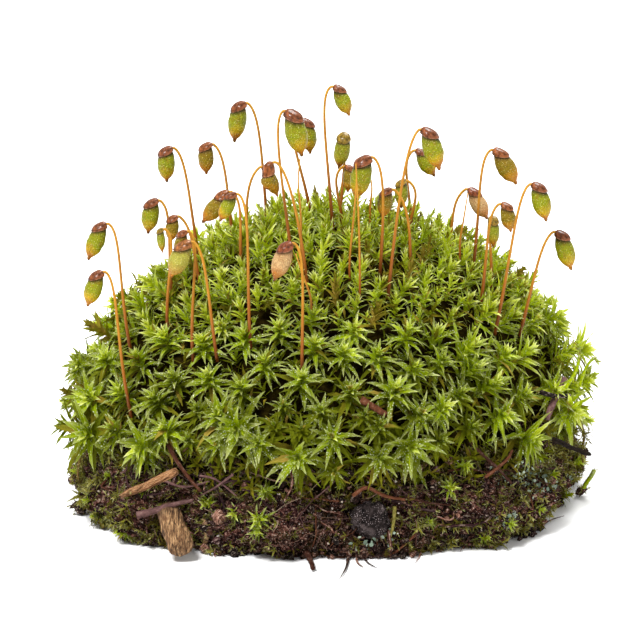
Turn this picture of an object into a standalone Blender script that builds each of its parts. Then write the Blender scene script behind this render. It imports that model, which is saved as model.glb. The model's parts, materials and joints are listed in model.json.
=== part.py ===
"""A clump of leafy moss on its clod of soil, with hooked stalks that carry spore capsules.

Sizes are in millimetres and are turned into metres where a mesh is made. +Z is up, the front faces -Y,
and the origin is the middle of the flat cut underside.
"""

import math
from typing import NamedTuple

import bmesh
import bpy
import numpy as np
from mathutils import Vector, noise

MM = 0.001
GAP = 0.3
POCKET_GAP = 0.35
UP = Vector((0.0, 0.0, 1.0))
FARTHEST = 120.0
HALVINGS = 40

# The dome of moss, out to its leaf tips
DOME_HALF_WIDTH = 34.0
DOME_HALF_DEPTH = 31.0
DOME_TOP = 36.6
DOME_WAIST = 8.0
DOME_FULLNESS = 1.92
DOME_FULLER_RIGHT = 0.2
UNDERSIDE = 7.7
UNDERSIDE_SHARE = 0.88
HEART = Vector((0.0, 0.0, 14.0))

# A star of leaves at the end of each moss shoot
STAR_POINTS = 6
STAR_SPACING = 7.0
STAR_CANDIDATES = 900
LOWEST_HEADING = -0.16
STAR_RADIUS = 4.2
STAR_SPIN = 2.4
STAR_BUD = 0.6
STAR_TIP = -0.3
STAR_NOTCH = -2.6
STAR_NOTCH_SHARE = 0.5
RIDGE_PULL = 0.0018
HOLLOW = -3.4
LOWEST_STAR = 10.0
PIT_RADIUS = 1.1
PIT_CLEAR = 2.4
PIT_SIDES = 5
CORNERS_APART = 0.55
STAR_WAVE = 0.4
WAVE_BY_STAR = 3.1
WAVE_BY_LEAF = 1.7
LIP = 0.8
RIM_CORNERS = 40

# The clod of soil under the moss
CLOD_HALF_WIDTH = 30.0
CLOD_HALF_DEPTH = 27.6
CLOD_TOP = UNDERSIDE - GAP
CLOD_LUMPS = 2.4
CLOD_LUMP_SIZE = 5.0
CLOD_SIDES = 56
CLOD_RINGS = ((0.0, 0.95), (1.7, 1.0), (3.7, 1.03), (5.7, 1.0), (CLOD_TOP, 0.95))

# Stalks and capsules
STALK_THICKNESS = 0.46
STALK_FOOT = 0.56
STALK_SIDES = 5
STALK_RINGS = 10
STALK_LEAN = 0.12
STALK_BULGE = 0.42
STALK_TO_CAPSULE = 0.3
HOOK_REACH = 0.35
HOOK_ARM = 2.0
HOOK_SLOPE = math.radians(40)
CROWN_BESIDE_CAP = 0.42
CROWN_ABOVE_CAP = 0.1
CAP_ARCH = 0.55
CAP_SHARE = 0.3
BEAK_FORWARD = 0.3
CAPSULE_SIDES = 7
CAPSULE_STEPS = 40
CAPSULE_OUTLINE = (
    (0.0, 0.22),
    (0.1, 0.5),
    (0.24, 0.8),
    (0.42, 1.0),
    (0.62, 0.93),
    (0.8, 0.6),
    (0.91, 0.26),
    (1.0, 0.09),
)

# The front is seen from this far above level, and heights seen from there are called rises
VIEW_TILT = math.radians(17)
VIEW_STEPS = 40


class Sporophyte(NamedTuple):
    """A stalk and its capsule: foot (x, y), cap and beak of the capsule (x, z), its girth, and its hook.

    The hook is the heading, in degrees from +X, in which the top of the stalk bends over.
    """

    foot: tuple
    cap: tuple
    beak: tuple
    girth: float
    hook: float


SPOROPHYTES = (
    Sporophyte((-23.0, -10.0), (-27.1, 36.8), (-28.4, 32.7), 2.1, 180),
    Sporophyte((-23.0, -16.0), (-27.4, 32.5), (-28.4, 28.7), 2.1, 190),
    Sporophyte((-15.0, 1.0), (-19.3, 43.1), (-19.1, 39.3), 2.1, 195),
    Sporophyte((-18.2, -4.5), (-21.0, 38.1), (-21.3, 34.4), 2.1, 185),
    Sporophyte((-14.9, -6.0), (-18.4, 36.5), (-18.5, 33.8), 1.6, 200),
    Sporophyte((-10.9, 2.0), (-14.5, 43.3), (-14.3, 40.0), 1.9, 190),
    Sporophyte((-6.8, 7.0), (-10.5, 47.1), (-10.9, 42.6), 2.2, 185),
    Sporophyte((-9.9, -7.0), (-12.3, 39.9), (-14.6, 36.5), 2.1, 195),
    Sporophyte((-8.7, -19.0), (-11.2, 43.2), (-12.4, 40.2), 1.7, 170),
    Sporophyte((-1.9, -13.5), (-6.7, 45.5), (-6.8, 42.6), 1.7, 190),
    Sporophyte((-3.6, -10.5), (-3.6, 51.0), (-2.7, 45.9), 2.6, -20),
    Sporophyte((-1.4, 4.0), (-2.0, 45.8), (-1.7, 42.0), 2.1, 0),
    Sporophyte((1.1, -3.0), (1.9, 52.0), (3.0, 48.8), 1.9, 0),
    Sporophyte((1.9, 1.6), (2.4, 44.7), (1.8, 40.9), 1.9, 260),
    Sporophyte((6.7, -11.0), (4.6, 45.4), (3.9, 40.6), 2.5, 190),
    Sporophyte((10.3, -9.0), (7.4, 40.8), (7.1, 37.7), 1.8, 185),
    Sporophyte((7.6, -14.5), (12.7, 49.9), (13.8, 45.3), 2.4, -5),
    Sporophyte((10.6, 5.0), (11.9, 41.7), (13.4, 38.8), 1.9, 10),
    Sporophyte((17.9, -3.5), (21.4, 44.2), (23.2, 40.3), 2.3, 0),
    Sporophyte((15.2, 2.0), (18.3, 37.6), (19.8, 34.3), 2.0, -10),
    Sporophyte((18.8, -9.5), (22.1, 39.1), (22.5, 36.1), 1.8, -10),
    Sporophyte((20.0, -5.0), (20.5, 36.1), (20.5, 32.9), 1.5, -70),
    Sporophyte((20.4, -12.5), (25.9, 42.5), (26.7, 38.3), 2.2, 0),
    Sporophyte((23.4, -9.5), (28.8, 35.6), (29.8, 31.3), 2.2, -5),
    Sporophyte((-2.6, -22.5), (-4.7, 38.0), (-5.9, 33.9), 2.2, 200),
    Sporophyte((-12.7, -18.5), (-16.9, 37.0), (-18.3, 33.1), 2.4, 190),
)

# Large stars on the front, as x and rise
FRONT_STARS = (
    (-29.4, 12.0), (-30.5, 7.2), (-26.2, 8.4), (-23.0, 5.5), (-25.6, 13.6), (-20.6, 11.8), (-27.4, 17.4),
    (-13.0, 9.6), (-8.0, 6.0), (-2.8, 14.3), (-3.3, 4.1), (-14.6, 15.0), (-17.4, 5.6), (-20.2, 19.6),
    (-14.8, 20.4), (-11.8, 26.4), (-21.4, 25.6), (-7.0, 24.0), (-0.2, 22.8), (-8.6, 18.6), (1.0, 8.0),
    (3.2, 13.4), (8.7, 14.0), (5.9, 3.6), (11.2, 4.4), (12.4, 9.8), (2.6, 18.6), (11.7, 27.6), (4.4, 24.4),
    (17.9, 18.7), (17.4, 11.7), (21.6, 14.4), (25.2, 18.2), (27.2, 22.4), (25.8, 6.8), (22.0, 9.0),
    (31.8, 9.6), (16.6, 5.6), (11.4, 20.4), (17.6, 25.0),
)  # fmt: skip


class Sprig(NamedTuple):
    """A curled young shoot at the dome's edge: the points (x, y, z) it passes through, and its radii."""

    name: str
    points: tuple
    radii: tuple


SPRIGS = (
    Sprig(
        "shoot_right_1",
        ((30.0, -13.6, 17.6), (30.9, -13.8, 19.6), (31.1, -13.6, 21.4), (31.3, -13.4, 22.8)),
        (0.35, 0.45, 1.1, 0.9, 0.3),
    ),
    Sprig(
        "shoot_right_2",
        ((31.4, -9.4, 15.9), (32.2, -9.6, 18.2), (32.9, -9.7, 19.6), (33.5, -9.7, 19.2), (33.4, -9.7, 18.0)),
        (0.3, 0.26, 0.26, 0.26, 0.3),
    ),
)

SPRIG_RINGS = 8
SPRIG_SIDES = 6

# What lies in the soil and at its edges
TWIG_LEFT = ((-26.0, -17.6, 4.6), (-22.6, -21.8, 6.8), (-18.8, -25.2, 9.0))
TWIG_LEFT_RADIUS = 0.5
TWIG_RIGHT = ((27.6, -19.0, 12.6), (30.6, -15.8, 10.2), (33.0, -13.6, 8.6))
TWIG_RIGHT_RADIUS = 0.42
TWIG_RINGS = 5
TWIG_SIDES = 6
BARK_STUB = ((-18.9, -20.4, 5.0), (-18.0, -23.8, 3.6), (-16.9, -27.6, 2.1))
BARK_STUB_RADII = (1.35, 1.55, 1.3)
STUB_RINGS = 4
STUB_SIDES = 8
STONE_AT = Vector((5.6, -26.6, 5.0))
STONE_SIZE = (4.8, 4.2, 4.3)
STONE_LUMPS = 0.16
STONE_LUMPS_ACROSS = 1.7
STONE_LUMPS_FROM = Vector((3.0, 1.0, 2.0))

# Colour and roughness of each finish
FINISHES = {
    "moss": ((0.20, 0.33, 0.04), 0.6),
    "young shoot": ((0.22, 0.28, 0.05), 0.55),
    "soil": ((0.045, 0.028, 0.02), 0.95),
    "stone": ((0.06, 0.06, 0.07), 0.6),
    "bark": ((0.27, 0.17, 0.09), 0.85),
    "tan twig": ((0.36, 0.22, 0.11), 0.8),
    "dark twig": ((0.05, 0.03, 0.025), 0.8),
    "stalk": ((0.42, 0.17, 0.04), 0.4),
    "capsule": ((0.27, 0.27, 0.04), 0.35),
}


def clear_scene():
    for obj in list(bpy.data.objects):
        bpy.data.objects.remove(obj)


def finish(name):
    colour, roughness = FINISHES[name]
    material = bpy.data.materials.new(name)
    material.use_nodes = True
    shader = material.node_tree.nodes["Principled BSDF"]
    shader.inputs["Base Color"].default_value = (*colour, 1.0)
    shader.inputs["Roughness"].default_value = roughness
    shader.inputs["Metallic"].default_value = 0.0
    return material


def solid(name, points, faces, material, at=(0.0, 0.0, 0.0)):
    """A named object from points in millimetres, with its own origin at a given place."""
    at = Vector(at)
    mesh = bpy.data.meshes.new(name)
    mesh.from_pydata([(Vector(p) - at) * MM for p in points], [], faces)
    mesh.materials.append(material)
    obj = bpy.data.objects.new(name, mesh)
    obj.location = at * MM
    bpy.context.scene.collection.objects.link(obj)
    return obj


def guide(obj):
    """A cutter: drawn as wires and kept out of the picture."""
    obj.hide_render = True
    obj.display_type = "WIRE"
    return obj


def cut(obj, cutter):
    modifier = obj.modifiers.new(f"pocket for {cutter.name}", "BOOLEAN")
    modifier.operation = "DIFFERENCE"
    modifier.solver = "EXACT"
    modifier.object = guide(cutter)


def smooth_line(points, count):
    """Evenly numbered points on a smooth curve through the given ones."""
    points = [Vector(p) for p in points]
    line = [2 * points[0] - points[1], *points, 2 * points[-1] - points[-2]]
    spans = len(points) - 1
    out = []
    for i in range(count):
        along = spans * i / (count - 1)
        span = min(int(along), spans - 1)
        t = along - span
        a, b, c, d = line[span : span + 4]
        bend = 2 * b + (c - a) * t + (2 * a - 5 * b + 4 * c - d) * t**2 + (3 * b - a - 3 * c + d) * t**3
        out.append(bend / 2)
    return out


def arch(start, lift, reach, end, count):
    """Points on the cubic curve with these four control points."""
    out = []
    for i in range(count):
        t = i / (count - 1)
        out.append(
            (1 - t) ** 3 * start + 3 * t * (1 - t) ** 2 * lift + 3 * t**2 * (1 - t) * reach + t**3 * end
        )
    return out


def sweep(line, radii, sides):
    """Points and faces of a closed round bar along a line, with a radius at each of its points."""
    points, faces = [], []
    side = Vector((0.0, 1.0, 0.0))
    for i, here in enumerate(line):
        before, after = line[max(i - 1, 0)], line[min(i + 1, len(line) - 1)]
        ahead = (after - before).normalized()
        side = (side - ahead * side.dot(ahead)).normalized()
        across = ahead.cross(side)
        for k in range(sides):
            turn = 2 * math.pi * k / sides
            points.append(here + radii[i] * (math.cos(turn) * side + math.sin(turn) * across))
    for i in range(len(line) - 1):
        for k in range(sides):
            a, b = i * sides + k, i * sides + (k + 1) % sides
            faces.append((a, b, b + sides, a + sides))
    faces.append(tuple(reversed(range(sides))))
    faces.append(tuple(range(len(points) - sides, len(points))))
    return points, faces


def spread(values, count):
    """The same run of values, read off at another number of places."""
    places = np.linspace(0, len(values) - 1, count)
    return [float(v) for v in np.interp(places, range(len(values)), values)]


def fullness(x, y):
    """The dome stands fuller on its right than on its left."""
    return DOME_FULLNESS + DOME_FULLER_RIGHT * x / max(math.hypot(x, y), 1e-9)


def dome_height(x, y, depth=0.0):
    """Height of the dome over a place in plan, or of a smaller dome that lies this deep inside it."""
    n = fullness(x, y)
    plan = math.hypot(x / (DOME_HALF_WIDTH - depth), y / (DOME_HALF_DEPTH - depth))
    return DOME_WAIST + (DOME_TOP - DOME_WAIST - depth) * max(1 - plan**n, 0.0) ** (1 / n)


def inside_dome(p):
    n = fullness(p.x, p.y)
    plan = math.hypot(p.x / DOME_HALF_WIDTH, p.y / DOME_HALF_DEPTH)
    up = abs(p.z - DOME_WAIST) / (DOME_TOP - DOME_WAIST)
    return plan**n + up**n < 1


def along_to_dome(start, direction, inside_first):
    """Where a straight line leaves the dome (or enters it), found by halving."""
    near, far = 0.0, FARTHEST
    for _ in range(HALVINGS):
        middle = (near + far) / 2
        if inside_dome(start + direction * middle) == inside_first:
            near = middle
        else:
            far = middle
    return start + direction * near


def star_on_front(x, rise):
    """The place on the front of the dome that is seen at this x and rise."""
    away = Vector((0.0, math.cos(VIEW_TILT), -math.sin(VIEW_TILT)))
    up = Vector((0.0, math.sin(VIEW_TILT), math.cos(VIEW_TILT)))
    nearest = None
    for step in range(-VIEW_STEPS, VIEW_STEPS + 1):
        p = Vector((x, 0.0, 0.0)) + up * rise + away * step
        if inside_dome(p):
            nearest = p
            break
    if nearest is None:
        reach = Vector((x, 0.0, rise / math.cos(VIEW_TILT))) - HEART
        return along_to_dome(HEART, reach.normalized(), True)
    return along_to_dome(nearest, -away, True)


def dome_normal(p):
    step = 0.05
    slope_x = (dome_height(p.x + step, p.y) - dome_height(p.x - step, p.y)) / (2 * step)
    slope_y = (dome_height(p.x, p.y + step) - dome_height(p.x, p.y - step)) / (2 * step)
    return Vector((-slope_x, -slope_y, 1.0)).normalized()


def star_places():
    """Middles of the large stars: those on the front, then the rest of the dome filled evenly."""
    places = [star_on_front(x, rise) for x, rise in FRONT_STARS]
    golden = math.pi * (3 - math.sqrt(5))
    for i in range(STAR_CANDIDATES):
        up = 1 - (1 - LOWEST_HEADING) * i / STAR_CANDIDATES
        level = math.sqrt(max(1 - up * up, 0.0))
        heading = Vector((level * math.cos(golden * i), level * math.sin(golden * i), up))
        p = along_to_dome(HEART, heading, True)
        if p.z < LOWEST_STAR:
            continue
        if all((p - q).length > STAR_SPACING for q in places):
            places.append(p)
    return places


def foot_of(x, y):
    """Floor of the small pit that a stem rises from, and the way the moss faces there."""
    floor = Vector((x, y, dome_height(x, y, -HOLLOW)))
    return floor, dome_normal(floor)


def hook_heading(row):
    turn = math.radians(row.hook)
    return Vector((math.cos(turn), math.sin(turn), 0.0))


def cap_middle(row):
    return Vector((row.cap[0], row.foot[1] + HOOK_REACH * hook_heading(row).y, row.cap[1]))


def stalk_line(row):
    """A stalk's own curve: out of the moss, up, then bending over beside the capsule's cap."""
    floor, facing = foot_of(*row.foot)
    start = floor + facing * POCKET_GAP
    over = hook_heading(row)
    crown = cap_middle(row) - over * (HOOK_REACH + CROWN_BESIDE_CAP * row.girth) + UP * CROWN_ABOVE_CAP
    rise = crown.z - start.z
    reach = crown - HOOK_ARM * (math.cos(HOOK_SLOPE) * over + math.sin(HOOK_SLOPE) * UP)
    lift = start + STALK_LEAN * rise * facing + STALK_BULGE * rise * UP
    lift.x += STALK_TO_CAPSULE * (reach.x - start.x)
    return arch(start, lift, reach, crown, STALK_RINGS)


def capsule_line(row, stalk):
    """A capsule's own curve: on from the stalk's end, over its hook and down to the beak."""
    ahead = (stalk[-1] - stalk[-2]).normalized()
    start = stalk[-1] + ahead * GAP
    cap = cap_middle(row)
    beak = Vector((row.beak[0], cap.y - BEAK_FORWARD, row.beak[1]))
    over = cap + UP * CAP_ARCH
    below = cap + CAP_SHARE * (beak - cap)
    curve = arch(start, over, below, beak, CAPSULE_STEPS + 1)
    walked = [0.0]
    for a, b in zip(curve, curve[1:]):
        walked.append(walked[-1] + (b - a).length)
    line = []
    for share, _ in CAPSULE_OUTLINE:
        spot = [float(np.interp(share * walked[-1], walked, [p[axis] for p in curve])) for axis in range(3)]
        line.append(Vector(spot))
    return line


def make_sporophyte(number, row, stalk_finish, capsule_finish):
    line = stalk_line(row)
    radii = [r / 2 for r in spread((STALK_FOOT, STALK_THICKNESS, STALK_THICKNESS), STALK_RINGS)]
    stalk = solid(f"stalk_{number:02d}", *sweep(line, radii, STALK_SIDES), stalk_finish, line[0])
    axis = capsule_line(row, line)
    girths = [share * row.girth / 2 for _, share in CAPSULE_OUTLINE]
    capsule = solid(f"capsule_{number:02d}", *sweep(axis, girths, CAPSULE_SIDES), capsule_finish, axis[0])
    capsule.data.shade_smooth()
    return [stalk, capsule]


def make_sprig(sprig, material):
    return make_bar(sprig.name, sprig.points, sprig.radii, SPRIG_RINGS, SPRIG_SIDES, material)


def moss_corners(stems):
    """Every corner of the dome, and which of them are on ridges.

    There are stars of leaves, a pit at the foot of each stem, and the flat underside.
    """
    stem_feet = [line[0] for line in stems]
    points, ridges = [], []

    def add(p, ridge=False):
        if all((p - q).length > CORNERS_APART for q in points):
            points.append(p)
            ridges.append(ridge)

    for floor in stem_feet:
        facing = dome_normal(floor)
        middle = floor - facing * POCKET_GAP
        add(middle)
        side = facing.cross(Vector((0.3, 0.9, 0.1))).normalized()
        across = facing.cross(side)
        for k in range(PIT_SIDES):
            turn = 2 * math.pi * k / PIT_SIDES
            add(middle + PIT_RADIUS * (math.cos(turn) * side + math.sin(turn) * across))

    def add_star_point(heading, height, ridge):
        p = along_to_dome(HEART, heading, True) + heading * height
        clear = min((p - foot).length for foot in stem_feet) > PIT_CLEAR
        if clear and p.z > UNDERSIDE + LIP:
            add(p, ridge)

    for i, middle in enumerate(star_places()):
        heading = (middle - HEART).normalized()
        side = heading.cross(Vector((0.2, 0.3, 1.0))).normalized()
        across = heading.cross(side)
        spin = STAR_SPIN * i
        add_star_point(heading, STAR_BUD, True)
        for k in range(2 * STAR_POINTS):
            turn = spin + math.pi * k / STAR_POINTS
            tip = k % 2 == 0
            out = STAR_RADIUS * (1.0 if tip else STAR_NOTCH_SHARE)
            place = middle + out * (math.cos(turn) * side + math.sin(turn) * across)
            wave = STAR_WAVE * math.sin(WAVE_BY_STAR * i + WAVE_BY_LEAF * k)
            height = (STAR_TIP if tip else STAR_NOTCH) + wave
            add_star_point((place - HEART).normalized(), height, tip)

    for k in range(RIM_CORNERS):
        turn = 2 * math.pi * k / RIM_CORNERS
        x = UNDERSIDE_SHARE * DOME_HALF_WIDTH * math.cos(turn)
        y = UNDERSIDE_SHARE * DOME_HALF_DEPTH * math.sin(turn)
        add(Vector((x, y, UNDERSIDE)))
    add(Vector((0.0, 0.0, UNDERSIDE)))
    return points, ridges


def round_faces(points, ridges, middle):
    """Triangles that join points all round a middle, as neighbours seen from it.

    Points on ridges are pulled out a little first, so that an edge runs along each leaf and not across it.
    """
    net = bmesh.new()
    for p, ridge in zip(points, ridges):
        net.verts.new((p - middle).normalized() * (1 + RIDGE_PULL * ridge))
    net.verts.index_update()
    bmesh.ops.convex_hull(net, input=net.verts)
    faces = [tuple(v.index for v in face.verts) for face in net.faces]
    net.free()
    return faces


def make_moss(stems, material):
    points, ridges = moss_corners(stems)
    faces = round_faces(points, ridges, HEART)
    used = sorted({i for face in faces for i in face})
    place = {old: new for new, old in enumerate(used)}
    faces = [tuple(place[i] for i in face) for face in faces]
    return solid("moss_cushion", [points[i] for i in used], faces, material)


def make_stem_channels(stems, material):
    """One cutter that keeps the moss clear of every stem that rises through it."""
    points, faces = [], []
    for line in stems:
        radii = [STALK_FOOT / 2 + GAP] * len(line)
        ring_points, ring_faces = sweep(line, radii, STALK_SIDES)
        faces += [tuple(len(points) + i for i in face) for face in ring_faces]
        points += ring_points
    return solid("stem channels", points, faces, material)


def make_clod(material):
    """Soil with a flat underside, a flat top under the moss and lumpy sides."""
    points = []
    for height, share in CLOD_RINGS:
        for k in range(CLOD_SIDES):
            turn = 2 * math.pi * k / CLOD_SIDES
            out = Vector((CLOD_HALF_WIDTH * math.cos(turn), CLOD_HALF_DEPTH * math.sin(turn), 0.0))
            lump = noise.noise((out + Vector((0.0, 0.0, height))) / CLOD_LUMP_SIZE)
            grown = out * share + out.normalized() * CLOD_LUMPS * lump
            points.append(Vector((grown.x, grown.y, height)))
    faces = []
    for ring in range(len(CLOD_RINGS) - 1):
        for k in range(CLOD_SIDES):
            a, b = ring * CLOD_SIDES + k, ring * CLOD_SIDES + (k + 1) % CLOD_SIDES
            faces.append((a, b, b + CLOD_SIDES, a + CLOD_SIDES))
    top = len(points) - CLOD_SIDES
    points += [Vector((0.0, 0.0, 0.0)), Vector((0.0, 0.0, CLOD_TOP))]
    for k in range(CLOD_SIDES):
        after = (k + 1) % CLOD_SIDES
        faces.append((len(points) - 2, after, k))
        faces.append((len(points) - 1, top + k, top + after))
    return solid("soil_clod", points, faces, material)


def make_stone(name, grow, material):
    """A rough pebble, its facets set by smooth noise."""
    net = bmesh.new()
    bmesh.ops.create_icosphere(net, subdivisions=2, radius=1.0)
    points = []
    for v in net.verts:
        rough = 1 + STONE_LUMPS * noise.noise(v.co * STONE_LUMPS_ACROSS + STONE_LUMPS_FROM)
        points.append(Vector([v.co[i] * rough * (STONE_SIZE[i] / 2 + grow) for i in range(3)]))
    net.verts.index_update()
    faces = [tuple(v.index for v in face.verts) for face in net.faces]
    net.free()
    return solid(name, [STONE_AT + p for p in points], faces, material, STONE_AT)


def make_bar(name, points, radii, rings, sides, material):
    line = smooth_line(points, rings)
    return solid(name, *sweep(line, spread(radii, rings), sides), material, line[0])


def lengthened(points, by):
    """The same points with both ends moved outwards."""
    points = [Vector(p) for p in points]
    first = points[0] + (points[0] - points[1]).normalized() * by
    last = points[-1] + (points[-1] - points[-2]).normalized() * by
    return [first, *points[1:-1], last]


def widened(radii):
    return [r + GAP for r in radii]


def main():
    clear_scene()
    bpy.context.scene.unit_settings.system = "METRIC"
    finishes = {name: finish(name) for name in FINISHES}

    pieces = []
    for number, row in enumerate(SPOROPHYTES, 1):
        pieces += make_sporophyte(number, row, finishes["stalk"], finishes["capsule"])
    pieces += [make_sprig(sprig, finishes["young shoot"]) for sprig in SPRIGS]

    stems = [stalk_line(row) for row in SPOROPHYTES]
    stems += [smooth_line(sprig.points, SPRIG_RINGS) for sprig in SPRIGS]
    moss = make_moss(stems, finishes["moss"])
    cut(moss, make_stem_channels(stems, finishes["moss"]))
    clod = make_clod(finishes["soil"])
    pieces += [moss, clod]

    pieces.append(make_stone("stone", 0.0, finishes["stone"]))
    cut(clod, make_stone("stone pocket", POCKET_GAP, finishes["stone"]))

    bark = finishes["bark"]
    pieces.append(make_bar("bark_stub", BARK_STUB, BARK_STUB_RADII, STUB_RINGS, STUB_SIDES, bark))
    around = (lengthened(BARK_STUB, GAP), widened(BARK_STUB_RADII))
    cut(clod, make_bar("stub pocket", *around, STUB_RINGS, STUB_SIDES, bark))

    for name, line, radius, material, carriers in (
        ("twig_left", TWIG_LEFT, TWIG_LEFT_RADIUS, finishes["tan twig"], (moss, clod)),
        ("twig_right", TWIG_RIGHT, TWIG_RIGHT_RADIUS, finishes["dark twig"], (moss,)),
    ):
        radii = (radius, radius)
        pieces.append(make_bar(name, line, radii, TWIG_RINGS, TWIG_SIDES, material))
        around = (lengthened(line, GAP), widened(radii))
        groove = make_bar(f"{name} groove", *around, TWIG_RINGS, TWIG_SIDES, material)
        for carrier in carriers:
            cut(carrier, groove)

    clump = bpy.data.objects.new("clump", None)
    bpy.context.scene.collection.objects.link(clump)
    for piece in pieces:
        piece.parent = clump


main()
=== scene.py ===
"""The looks of a clump of leafy moss: leaves, stalks, capsules, and the soil with what lies in it.

Lengths are in millimetres and are turned into metres where a mesh is made. +Z is up, the front faces -Y,
and heights seen from the front, from a little above level, are called rises.
"""

import json
import math
import random
from typing import NamedTuple

import bmesh
import bpy
import numpy as np
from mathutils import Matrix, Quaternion, Vector, noise

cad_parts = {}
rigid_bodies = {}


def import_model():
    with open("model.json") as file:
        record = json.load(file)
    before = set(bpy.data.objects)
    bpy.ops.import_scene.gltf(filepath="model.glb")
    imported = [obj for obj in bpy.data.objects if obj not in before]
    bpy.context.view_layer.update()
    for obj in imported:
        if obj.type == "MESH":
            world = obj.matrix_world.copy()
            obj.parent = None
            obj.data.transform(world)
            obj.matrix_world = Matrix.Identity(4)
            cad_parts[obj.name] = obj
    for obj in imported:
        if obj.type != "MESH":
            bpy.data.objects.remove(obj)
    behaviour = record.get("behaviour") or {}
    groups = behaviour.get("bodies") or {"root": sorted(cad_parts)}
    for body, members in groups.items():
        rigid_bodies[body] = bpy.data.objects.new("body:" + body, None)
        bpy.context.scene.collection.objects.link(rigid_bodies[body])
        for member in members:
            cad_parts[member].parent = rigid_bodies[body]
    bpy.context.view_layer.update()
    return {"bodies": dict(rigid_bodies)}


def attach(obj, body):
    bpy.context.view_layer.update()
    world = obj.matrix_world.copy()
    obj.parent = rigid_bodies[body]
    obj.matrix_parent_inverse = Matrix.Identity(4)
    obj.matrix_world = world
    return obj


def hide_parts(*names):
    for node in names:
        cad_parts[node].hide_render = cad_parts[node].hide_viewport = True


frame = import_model()
BODY = next(iter(frame["bodies"]))

MM = 0.001
GAP = 0.3
POCKET_GAP = 0.35
FLOOR_CLEARANCE = 0.02
UP = Vector((0.0, 0.0, 1.0))
DOWN = Vector((0.0, 0.0, -1.0))
ACROSS = Vector((1.0, 0.0, 0.0))
AHEAD = Vector((0.0, 1.0, 0.0))
GOLDEN_TURN = math.pi * (3 - math.sqrt(5))
BAKE_MAP = "OFBake"

# The view from the front, a little above level, and how far and finely it is searched
VIEW_TILT = math.radians(17)
VIEW_AWAY = Vector((0.0, math.cos(VIEW_TILT), -math.sin(VIEW_TILT)))
VIEW_UP = Vector((0.0, math.sin(VIEW_TILT), math.cos(VIEW_TILT)))
VIEW_REACH = 40
VIEW_STEP = 0.25

# The dome of moss, out to its leaf tips, as the solids have it
DOME_HALF_WIDTH = 34.0
DOME_HALF_DEPTH = 31.0
DOME_TOP = 36.6
DOME_WAIST = 8.0
DOME_FULLNESS = 1.92
DOME_FULLER_RIGHT = 0.2
UNDERSIDE = 7.7
PIT_DEPTH = 3.4
# The place inside the dome from which lines are drawn out to it
HEART = Vector((0.0, 0.0, 14.0))

# The clod of soil, as the solids have it
CLOD_HALF_WIDTH = 30.0
CLOD_HALF_DEPTH = 27.6
CLOD_TOP = UNDERSIDE - GAP
CLOD_LUMPS = 2.4
CLOD_LUMP_SIZE = 5.0
CLOD_RINGS = ((0.0, 0.95), (1.7, 1.0), (3.7, 1.03), (5.7, 1.0), (CLOD_TOP, 0.95))

# Stalks and capsules, as the solids have them
STALK_THICKNESSES = (0.48, 0.38, 0.36, 0.34)
STALK_LEAN = 0.12
STALK_BULGE = 0.42
STALK_TO_CAPSULE = 0.3
HOOK_REACH = 0.35
HOOK_ARM = 2.0
HOOK_SLOPE = math.radians(40)
CROWN_BESIDE_CAP = 0.42
CROWN_ABOVE_CAP = 0.1
BEAK_FORWARD = 0.3
CURVE_STEPS = 36


class Wire:
    """A shader socket on which sums with other wires and with numbers can be written."""

    def __init__(self, finish, socket):
        self.finish = finish
        self.socket = socket

    def math(self, operation, *values):
        sockets = dict(enumerate((self, *values)))
        return self.finish.make("ShaderNodeMath", {"operation": operation}, sockets)

    def __add__(self, other):
        return self.math("ADD", other)

    def __sub__(self, other):
        return self.math("SUBTRACT", other)

    def __mul__(self, other):
        return self.math("MULTIPLY", other)

    def __truediv__(self, other):
        return self.math("DIVIDE", other)

    def __rsub__(self, other):
        sockets = {0: other, 1: self}
        return self.finish.make("ShaderNodeMath", {"operation": "SUBTRACT"}, sockets)

    __radd__ = __add__
    __rmul__ = __mul__

    def clamped(self):
        return self.finish.make("ShaderNodeClamp", {}, {"Value": self})

    def between(self, low, high):
        """0 below low, 1 above high, and a smooth step in between. Low may be the larger one."""
        settings = {"interpolation_type": "SMOOTHSTEP"}
        sockets = {"Value": self, "From Min": low, "From Max": high}
        return self.finish.make("ShaderNodeMapRange", settings, sockets)


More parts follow.
